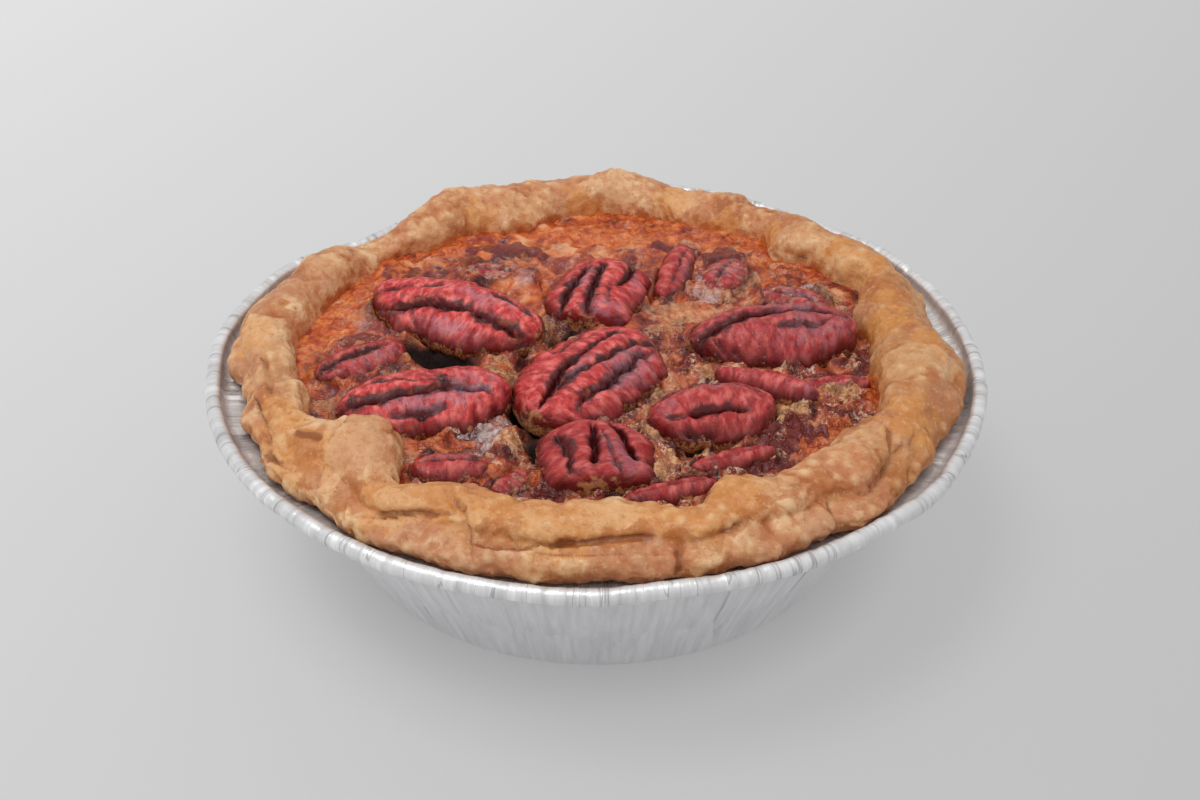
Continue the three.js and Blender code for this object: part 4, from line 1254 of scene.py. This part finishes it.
class Nodes:
    """Short ways to add nodes to a tree."""

    def __init__(self, tree):
        self.tree = tree

    def node(self, kind, **settings):
        made = self.tree.nodes.new(kind)
        for key, value in settings.items():
            setattr(made, key, value)
        return made

    def link(self, source, target):
        self.tree.links.new(source, target)

    def put(self, value, socket):
        """A socket takes a number, a vector, a colour or another node's output."""
        if isinstance(value, tuple) and socket.type == "RGBA":
            socket.default_value = (*value, 1)
        elif isinstance(value, (int, float, tuple)):
            socket.default_value = value
        else:
            self.link(value, socket)

    def place(self):
        return self.node("ShaderNodeTexCoord").outputs["Object"]

    def mask(self, name):
        return self.node("ShaderNodeAttribute", attribute_name=name).outputs["Fac"]

    def flat_map(self):
        """The piece's UV map, in metres."""
        return self.node("ShaderNodeUVMap", uv_map="UVMap").outputs["UV"]

    def stretched(self, where, stretch):
        made = self.node("ShaderNodeMapping")
        made.inputs["Scale"].default_value = stretch
        self.link(where, made.inputs["Vector"])
        return made.outputs["Vector"]

    def lumps(self, where, scale, detail, **more):
        """Noise of 0 to 1 with that many lumps to a metre."""
        made = self.node("ShaderNodeTexNoise")
        self.link(where, made.inputs["Vector"])
        self.put(scale, made.inputs["Scale"])
        made.inputs["Detail"].default_value = detail
        for key, value in more.items():
            made.inputs[key].default_value = value
        return made.outputs["Fac"]

    def noise(self, size, detail=3.0, stretch=(1, 1, 1), where=None, **more):
        """Noise with lumps of that size in millimetres."""
        where = self.stretched(where or self.place(), stretch)
        return self.lumps(where, 1 / (size * MM), detail, **more)

    def ramp(self, source, *stops):
        """A number turned into a colour or a mask: stops are (place, grey or colour)."""
        made = self.node("ShaderNodeValToRGB")
        while len(made.color_ramp.elements) < len(stops):
            made.color_ramp.elements.new(0.5)
        for element, (at, value) in zip(made.color_ramp.elements, stops):
            element.position = at
            colour = value if isinstance(value, tuple) else (value, value, value)
            element.color = (*colour, 1)
        self.link(source, made.inputs["Fac"])
        return made.outputs["Color"]

    def rise(self, source, low, high, kind="SMOOTHSTEP"):
        """A number from 0 to 1 as the source goes from low to high, which may be either way up."""
        made = self.node("ShaderNodeMapRange", interpolation_type=kind)
        made.inputs["From Min"].default_value = low
        made.inputs["From Max"].default_value = high
        self.link(source, made.inputs["Value"])
        return made.outputs["Result"]

    def blend(self, share, below, above, kind="MIX", strength=1.0):
        """Colour above laid on colour below, by a share that is a number or a mask."""
        made = self.node("ShaderNodeMix", data_type="RGBA", blend_type=kind)
        self.put(below, made.inputs[6])
        self.put(above, made.inputs[7])
        if strength != 1.0:
            share = self.maths("MULTIPLY", share, strength)
        self.put(share, made.inputs[0])
        return made.outputs[2]

    def maths(self, operation, first, second=0.0):
        made = self.node("ShaderNodeMath", operation=operation)
        self.put(first, made.inputs[0])
        self.put(second, made.inputs[1])
        return made.outputs[0]

    def total(self, *terms):
        """The sum of terms, each a number and its weight."""
        so_far = None
        for number, weight in terms:
            part = number if weight == 1 else self.maths("MULTIPLY", number, weight)
            so_far = part if so_far is None else self.maths("ADD", so_far, part)
        return so_far

    def dot(self, place, direction):
        """How far a place lies in that direction."""
        made = self.node("ShaderNodeVectorMath", operation="DOT_PRODUCT")
        self.link(place, made.inputs[0])
        made.inputs[1].default_value = direction
        return made.outputs["Value"]

    def centred(self, size, detail=3.0, **more):
        """Noise of about -0.5 to 0.5."""
        return self.maths("SUBTRACT", self.noise(size, detail, **more), 0.5)

    def bump(self, height, depth, below=None):
        """A bump of that depth in millimetres."""
        made = self.node("ShaderNodeBump")
        made.inputs["Distance"].default_value = depth * MM
        self.link(height, made.inputs["Height"])
        if below is not None:
            self.link(below, made.inputs["Normal"])
        return made.outputs["Normal"]

    def effect(self, group, **values):
        """Places a shared effect with its own values in its sockets."""
        made = self.node("ShaderNodeGroup", node_tree=group)
        for key, value in values.items():
            self.put(value, made.inputs[key.replace("_", " ")])
        return made.outputs[0]

    def patchy(self, name, size, amount):
        """A mask of the piece with its outline broken up into lumps of that size."""
        scale = 1 / (size * MM)
        return self.effect(
            BROKEN_PATCH, Place=self.place(), Mask=self.mask(name), Scale=scale, Amount=amount
        )

    def strings(self, size, width, where=None, seed=(0, 0, 0)):
        """A mask of thin wandering lines about that far apart."""
        where, scale = where or self.place(), 1 / (size * MM)
        return self.effect(THIN_LINES, Place=where, Shift=seed, Scale=scale, Width=width)


class Finish(Nodes):
    """A material with one Principled shader."""

    def __init__(self, name, **constants):
        self.material = bpy.data.materials.new(name)
        self.material.use_nodes = True
        super().__init__(self.material.node_tree)
        self.shader = self.tree.nodes["Principled BSDF"]
        for socket, value in constants.items():
            self.shader.inputs[socket.replace("_", " ")].default_value = value

    def set(self, socket, source):
        self.link(source, self.shader.inputs[socket])


def shared_effect(name, inputs, output):
    """A new node group with these sockets: its nodes, its inputs and its output."""
    group = bpy.data.node_groups.new(name, "ShaderNodeTree")
    for socket, kind in inputs.items():
        group.interface.new_socket(socket, in_out="INPUT", socket_type="NodeSocket" + kind)
    group.interface.new_socket(output, in_out="OUTPUT", socket_type="NodeSocketFloat")
    nodes = Nodes(group)
    entry = nodes.node("NodeGroupInput").outputs
    exit_socket = nodes.node("NodeGroupOutput").inputs[0]
    return group, nodes, entry, exit_socket


def broken_patch():
    """A mask whose outline is broken up into lumps."""
    inputs = {"Place": "Vector", "Mask": "Float", "Scale": "Float", "Amount": "Float"}
    group, nodes, entry, out = shared_effect("broken_patch", inputs, "Mask")
    lumps = nodes.lumps(entry["Place"], entry["Scale"], 5, Roughness=0.65)
    centred = nodes.maths("SUBTRACT", lumps, 0.5)
    rough = nodes.maths("MULTIPLY", nodes.maths("MULTIPLY", centred, entry["Amount"]), 2.0)
    nodes.link(nodes.rise(nodes.maths("ADD", entry["Mask"], rough), 0.30, 0.70), out)
    return group


def thin_lines():
    """Thin lines that wander, as where sugar has pulled into strings or foil has creased."""
    inputs = {"Place": "Vector", "Shift": "Vector", "Scale": "Float", "Width": "Float"}
    group, nodes, entry, out = shared_effect("thin_lines", inputs, "Mask")
    shifted = nodes.node("ShaderNodeVectorMath", operation="ADD")
    nodes.link(entry["Place"], shifted.inputs[0])
    nodes.link(entry["Shift"], shifted.inputs[1])
    waves = nodes.lumps(shifted.outputs[0], entry["Scale"], 4, Roughness=0.6, Distortion=0.6)
    middle = nodes.maths("ABSOLUTE", nodes.maths("SUBTRACT", waves, 0.5))
    share = nodes.maths("DIVIDE", middle, entry["Width"])
    nodes.link(nodes.rise(share, 1.0, 0.0), out)
    return group


BROKEN_PATCH = broken_patch()
THIN_LINES = thin_lines()


def foil_finish():
    foil = Finish("pressed_foil", Metallic=1.0)
    along = foil.stretched(foil.flat_map(), (1, 0.10, 1))  # streaks run along the section
    rim = foil.mask("rim")
    wall_tone = foil.ramp(
        foil.noise(1.6, 4, where=along, Roughness=0.6),
        (0.34, (0.80, 0.80, 0.81)),
        (0.62, (0.94, 0.94, 0.95)),
    )
    # painted reflection: darker and brighter streaks on the rim stand in for the foil reflecting
    # its surroundings
    rim_reflection_tone = foil.ramp(
        foil.noise(1.8, 5, where=along, Roughness=0.65),
        (0.28, (0.55, 0.54, 0.53)),
        (0.42, (0.74, 0.73, 0.73)),
        (0.56, (0.84, 0.84, 0.85)),
        (0.66, (0.98, 0.98, 0.99)),
    )
    base = foil.blend(rim, wall_tone, rim_reflection_tone)
    # painted shade: thin dark lines along the creases, mostly on the rim
    crease_shade_lines = foil.strings(6.0, 0.014, along, (0.31, 0.12, 0))
    crease_shade_lines = foil.maths("MULTIPLY", crease_shade_lines, foil.maths("ADD", rim, 0.06))
    base = foil.blend(crease_shade_lines, base, (0.24, 0.22, 0.21), strength=0.5)
    # painted shade along the wall's creases
    base = foil.blend(foil.mask("pressed"), base, (0.12, 0.11, 0.11), strength=0.8)
    stain_and_shade = foil.rise(foil.noise(1.8, 5, Roughness=0.7), 0.50, 0.62)
    stain_and_shade = foil.maths("MULTIPLY", foil.maths("ADD", stain_and_shade, 0.35), foil.mask("sticky"))
    base = foil.blend(stain_and_shade, base, (0.22, 0.085, 0.035), strength=0.9)
    foil.set("Base Color", base)
    # the creased rim is duller than the wall
    foil.set("Metallic", foil.maths("SUBTRACT", 1.0, foil.maths("MULTIPLY", rim, 0.45)))
    foil.set("Roughness", foil.ramp(foil.noise(1.4, 4), (0.3, 0.32), (0.8, 0.52)))
    fine = foil.bump(foil.noise(0.35, 3), 0.03)
    folds = foil.noise(1.8, 3, where=along)
    folds = foil.maths("MULTIPLY", folds, foil.maths("ADD", rim, 0.45))
    foil.set("Normal", foil.bump(folds, 0.22, fine))
    return foil.material


def pastry_finish():
    pastry = Finish("baked_pastry", Specular_IOR_Level=0.35)
    # paler on the raised dough and darker in its dips: painted light and shade from the relief,
    # mixed with a baked tone mottled at random
    mottle = pastry.noise(2.6, 6, Roughness=0.7)
    relief = pastry.total((pastry.mask("raised"), 1), (mottle, 1.3))
    base = pastry.ramp(
        pastry.maths("SUBTRACT", relief, 0.65),
        (0.12, (0.42, 0.130, 0.036)),
        (0.38, (0.57, 0.230, 0.090)),
        (0.64, (0.67, 0.330, 0.145)),
        (0.94, (0.82, 0.520, 0.280)),
    )
    blush = pastry.rise(pastry.noise(8.0, 4), 0.46, 0.60)
    base = pastry.blend(blush, base, (0.62, 0.235, 0.110), strength=0.4)
    base = pastry.blend(pastry.mask("browner"), base, (0.44, 0.160, 0.036), strength=0.85)
    for name, size, tone, strength in (
        ("rose", 2.6, (0.50, 0.185, 0.088), 0.50),
        ("gold", 2.4, (0.72, 0.300, 0.065), 0.50),
        ("cream", 2.0, (0.84, 0.520, 0.260), 0.32),
        ("rust", 1.4, (0.46, 0.130, 0.026), 0.55),
    ):
        base = pastry.blend(pastry.patchy(name, size, 1.2), base, tone, strength=strength)
    fleck = pastry.rise(pastry.noise(0.8, 5, Roughness=0.65), 0.55, 0.68)
    base = pastry.blend(fleck, base, (0.88, 0.60, 0.34), strength=0.35)
    toast = pastry.rise(pastry.noise(0.9, 5, Roughness=0.7), 0.47, 0.36)
    base = pastry.blend(toast, base, (0.42, 0.135, 0.035), strength=0.4)
    base = pastry.blend(pastry.mask("blister"), base, (0.90, 0.64, 0.36), strength=0.6)
    base = pastry.blend(pastry.patchy("syrup", 1.8, 1.0), base, (0.46, 0.100, 0.016), strength=0.8)
    # browning and painted shade in the creases and pits
    brown_and_shade = pastry.patchy("brown_and_shade", 0.8, 0.4)
    base = pastry.blend(brown_and_shade, base, (0.27, 0.076, 0.018), strength=0.78)
    pastry.set("Base Color", base)
    pastry.set("Roughness", pastry.ramp(pastry.noise(2.0, 3), (0.3, 0.30), (0.8, 0.52)))
    fine = pastry.bump(pastry.noise(0.34, 4), 0.05)
    pastry.set("Normal", pastry.bump(pastry.noise(1.5, 4), 0.38, fine))
    return pastry.material


def custard_finish():
    custard = Finish("baked_custard", Specular_IOR_Level=0.5)
    lit_glossy_back, froth = custard.mask("lit_glossy_back"), custard.mask("froth")
    amber, wine = custard.patchy("amber", 1.3, 1.2), custard.patchy("wine", 1.3, 1.1)
    film = custard.patchy("film", 0.8, 1.3)

    # the syrup in painted light and shade: dark in front and orange at the back left, where it is
    # painted as lit, with patches of wine and amber
    blotch = custard.noise(4.4, 4, Roughness=0.5, Distortion=0.5)
    shaded_tone = custard.ramp(
        blotch,
        (0.36, (0.030, 0.003, 0.003)),
        (0.45, (0.12, 0.011, 0.007)),
        (0.52, (0.30, 0.036, 0.014)),
        (0.60, (0.50, 0.120, 0.048)),
        (0.70, (0.66, 0.29, 0.150)),
    )
    lit = custard.ramp(
        blotch,
        (0.34, (0.13, 0.012, 0.011)),
        (0.42, (0.30, 0.038, 0.026)),
        (0.50, (0.50, 0.078, 0.016)),
        (0.58, (0.72, 0.175, 0.036)),
        (0.68, (0.80, 0.38, 0.190)),
    )
    base = custard.blend(lit_glossy_back, shaded_tone, lit)
    base = custard.blend(wine, base, (0.15, 0.009, 0.008), strength=0.85)
    amber_tone = custard.ramp(
        custard.noise(1.6, 6, Roughness=0.65, Distortion=0.6),
        (0.36, (0.26, 0.024, 0.008)),
        (0.50, (0.60, 0.105, 0.016)),
        (0.66, (0.84, 0.28, 0.080)),
    )
    base = custard.blend(amber, base, amber_tone, strength=0.8)

    # the skin laid on it: tan, golden where it froths, and pale where it is a film
    skin = custard.ramp(
        custard.noise(1.1, 6, Roughness=0.7),
        (0.36, (0.27, 0.062, 0.032)),
        (0.46, (0.66, 0.290, 0.160)),
        (0.60, (0.92, 0.62, 0.42)),
    )
    golden = custard.ramp(
        custard.noise(1.0, 5), (0.38, (0.42, 0.14, 0.045)), (0.62, (0.88, 0.49, 0.21))
    )
    pale = custard.ramp(
        custard.noise(0.8, 5, Roughness=0.7), (0.36, (0.30, 0.17, 0.16)), (0.62, (0.80, 0.66, 0.64))
    )
    skin = custard.blend(froth, skin, golden, strength=0.8)
    skin = custard.blend(film, skin, pale)

    # where the skin lies: in strings and specks, which are crisper where the custard is dull
    crisp = custard.maths("SUBTRACT", 1.0, custard.maths("MULTIPLY", lit_glossy_back, 0.72))
    coarse = custard.strings(3.6, 0.035, seed=(3, 1, 2))
    thin = custard.strings(1.9, 0.035, seed=(1, 2, 5))
    fine = custard.total((custard.centred(0.9, 5, Roughness=0.6), 1.6), (thin, 0.50))
    share = custard.total(
        (custard.maths("MULTIPLY", fine, crisp), 1),
        (custard.centred(3.0, 3), 3.0),
        (coarse, 0.45),
        (custard.mask("thread"), 0.35),
        (film, 0.4),
        (froth, 0.5),
        (custard.maths("ADD", amber, wine), -0.35),
    )
    bare = custard.maths("MULTIPLY", custard.maths("MAXIMUM", lit_glossy_back, amber), 0.65)
    laid = custard.rise(share, 0.27, 0.62)
    laid = custard.maths("MULTIPLY", laid, custard.maths("SUBTRACT", 0.95, bare))
    base = custard.blend(laid, base, skin)

    hollow = custard.mask("hollow")
    # painted shade in the dips and round the nuts
    base = custard.blend(custard.mask("sunk"), base, (0.060, 0.005, 0.004), strength=0.85)
    # painted shade: the cavities near-black
    base = custard.blend(hollow, base, (0.015, 0.002, 0.002))
    custard.set("Base Color", base)
    gloss = custard.ramp(custard.noise(1.0, 4), (0.35, 0.16), (0.7, 0.42))
    custard.set("Roughness", custard.blend(hollow, gloss, (0.9, 0.9, 0.9)))
    tiny = custard.bump(custard.noise(0.4, 4), 0.06)
    lumpy = custard.total((custard.noise(1.1, 5), 1), (coarse, 0.4))
    custard.set("Normal", custard.bump(custard.maths("MULTIPLY", lumpy, crisp), 0.45, tiny))
    return custard.material


def pecan_finish(film):
    skin = Finish("pecan_skin_%d" % round(film * 100), Specular_IOR_Level=0.4)
    along = skin.flat_map()

    # painted light and shade: bright as if lit on the ridges, and painted shade between them
    bright = skin.ramp(
        skin.noise(1.6, 5, stretch=(1, 0.6, 1), where=along, Roughness=0.55),
        (0.34, (0.36, 0.009, 0.011)),
        (0.48, (0.64, 0.036, 0.036)),
        (0.64, (0.97, 0.200, 0.175)),
    )
    shade = skin.ramp(
        skin.noise(2.0, 5), (0.3, (0.030, 0.001, 0.002)), (0.7, (0.11, 0.004, 0.006))
    )
    up_ridge = skin.total((skin.mask("ridge"), 1), (skin.noise(1.2, 5), 0.8))
    base = skin.blend(skin.rise(up_ridge, 0.62, 1.12), shade, bright)
    # painted shade on the flanks
    base = skin.blend(skin.mask("flank"), base, (0.19, 0.008, 0.010), strength=0.74)
    ember = skin.rise(skin.noise(1.8, 4), 0.56, 0.70)
    base = skin.blend(ember, base, (0.66, 0.14, 0.060), strength=0.4)
    # painted sheen: lilac where the skin would reflect the sky
    lilac = skin.total((skin.mask("painted_sheen"), 1), (skin.noise(1.5, 4), 3.0))
    base = skin.blend(skin.rise(lilac, 1.75, 2.75), base, (0.44, 0.24, 0.30), strength=0.5)
    base = skin.blend(skin.mask("deep"), base, (0.14, 0.006, 0.008))

    # wrinkles and grooves in painted shade, the foot darkened partly as wet syrup and partly as
    # painted shade, and the dry tips
    low = skin.mask("low")
    wrinkle = skin.noise(0.67, 5, stretch=(1, 0.35, 1), where=along, Roughness=0.6)
    # painted shade in the wrinkles' valleys
    base = skin.blend(skin.rise(wrinkle, 0.48, 0.34), base, (0.07, 0.003, 0.004), strength=0.55)
    base = skin.blend(low, base, (0.060, 0.003, 0.003), strength=0.95)
    # painted shade: a near-black line in each groove
    base = skin.blend(skin.mask("groove"), base, (0.035, 0.001, 0.002), strength=0.9)
    tip = skin.rise(skin.maths("MULTIPLY", skin.mask("end"), skin.noise(1.2, 4)), 0.42, 0.6)
    base = skin.blend(tip, base, (0.58, 0.28, 0.12), strength=0.8)

    # custard over the nut and round its foot
    if film:
        patch = skin.noise(1.4, 6, Roughness=0.7)
        patch = skin.rise(patch, 0.68 - 0.30 * film, 0.78 - 0.30 * film)
        coat = skin.ramp(
            skin.noise(0.5, 4), (0.35, (0.26, 0.10, 0.06)), (0.65, (0.60, 0.36, 0.24))
        )
        base = skin.blend(patch, base, coat, strength=0.85)
    froth = skin.maths("ADD", low, skin.noise(0.7, 6, Roughness=0.7))
    tan = skin.ramp(skin.noise(0.5, 4), (0.35, (0.16, 0.040, 0.018)), (0.65, (0.60, 0.26, 0.11)))
    base = skin.blend(skin.rise(froth, 1.34, 1.50), base, tan, strength=0.9)
    skin.set("Base Color", base)
    skin.set("Roughness", skin.ramp(skin.noise(1.0, 4), (0.3, 0.18), (0.75, 0.44)))
    fine = skin.bump(skin.noise(0.35, 4), 0.08)
    skin.set("Normal", skin.bump(wrinkle, 0.24, fine))
    return skin.material


def floor_finish():
    """Pale grey, with painted light making it lighter at the back left and a painted contact shadow
    making it a little darker beside the pan's base. It glows with the same grey, a painted light
    that lifts its shadows.
    """
    table = Finish("pale_table", Roughness=0.5, Emission_Strength=1.5)
    # painted light: lighter towards the back left
    share = table.rise(table.dot(table.place(), (1, -0.55, 0)), -0.3, 0.3, "LINEAR")
    grey = table.ramp(share, (0.0, (0.300, 0.300, 0.302)), (1.0, (0.170, 0.170, 0.172)))
    away = table.node("ShaderNodeVectorMath", operation="LENGTH")
    table.link(table.place(), away.inputs[0])
    # painted contact shadow round the pan's base
    beside = table.rise(away.outputs["Value"], 0.056, 0.042)
    grey = table.blend(beside, grey, (0.085, 0.085, 0.087), strength=0.30)
    table.set("Base Color", grey)
    # the floor glows with its own grey, painted light that lifts its shadows
    table.set("Emission Color", grey)
    return table.material


def dress(piece, material, slot, *nodes):
    piece.data.materials.clear()
    piece.data.materials.append(material)
    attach(piece, "root")
    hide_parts(*nodes)


# ------------------------------------------------------------------ studio


def studio():
    clear_selection()
    bpy.ops.mesh.primitive_plane_add(size=6, location=(0, 0, 0))
    floor = bpy.context.object
    floor.name = "floor"
    floor.data.materials.append(floor_finish())

    # a sky that is brighter overhead
    world = bpy.data.worlds.new("studio")
    world.use_nodes = True
    sky = Nodes(world.node_tree)
    background = sky.tree.nodes["Background"]
    way = sky.node("ShaderNodeTexCoord").outputs["Generated"]
    towards = sky.dot(way, Vector((-0.1, -0.30, 0.95)).normalized())
    share = sky.rise(towards, -1, 1, "LINEAR")
    grey = sky.ramp(share, (0.0, 0.42), (0.45, 0.56), (0.72, 0.66), (0.9, 0.72), (1.0, 0.76))
    sky.link(grey, background.inputs["Color"])
    background.inputs["Strength"].default_value = 1.0
    bpy.context.scene.world = world

    place = Vector((-0.22, -0.12, 0.86))
    bpy.ops.object.light_add(type="AREA", location=place)
    key = bpy.context.object
    key.name = "key"
    key.data.shape = "DISK"
    key.data.size = 0.42
    key.data.energy = 2.4
    key.rotation_euler = (Vector((0, 0, 0.03)) - place).to_track_quat("-Z", "Y").to_euler()
    bpy.context.scene.view_settings.view_transform = "Standard"


def camera():
    elevation = math.radians(33.03)
    distance = 0.30171
    target = Vector((0.00057, 0, 0.02154))
    back = Vector((0, -math.cos(elevation), math.sin(elevation)))
    bpy.ops.object.camera_add(location=target + distance * back)
    view = bpy.context.object
    view.name = "camera"
    view.rotation_euler = (math.pi / 2 - elevation, 0, 0)
    view.data.lens = 54
    view.data.sensor_width = 36
    view.data.clip_start = 0.01
    bpy.context.scene.camera = view


# ------------------------------------------------------------------ the pie

camera()
studio()
dress(foil_pan(), foil_finish(), "foil", "foil_pan")
dress(crust(), pastry_finish(), "crust", "crust")
dress(filling(), custard_finish(), "filling", "filling")
skins = {}
for seed, (name, nut) in enumerate(PECANS.items(), start=20):
    film = nut.get("film", 0.0)
    if film not in skins:
        skins[film] = pecan_finish(film)
    dress(pecan(name, nut, seed), skins[film], "pecan", "pecan_" + name)
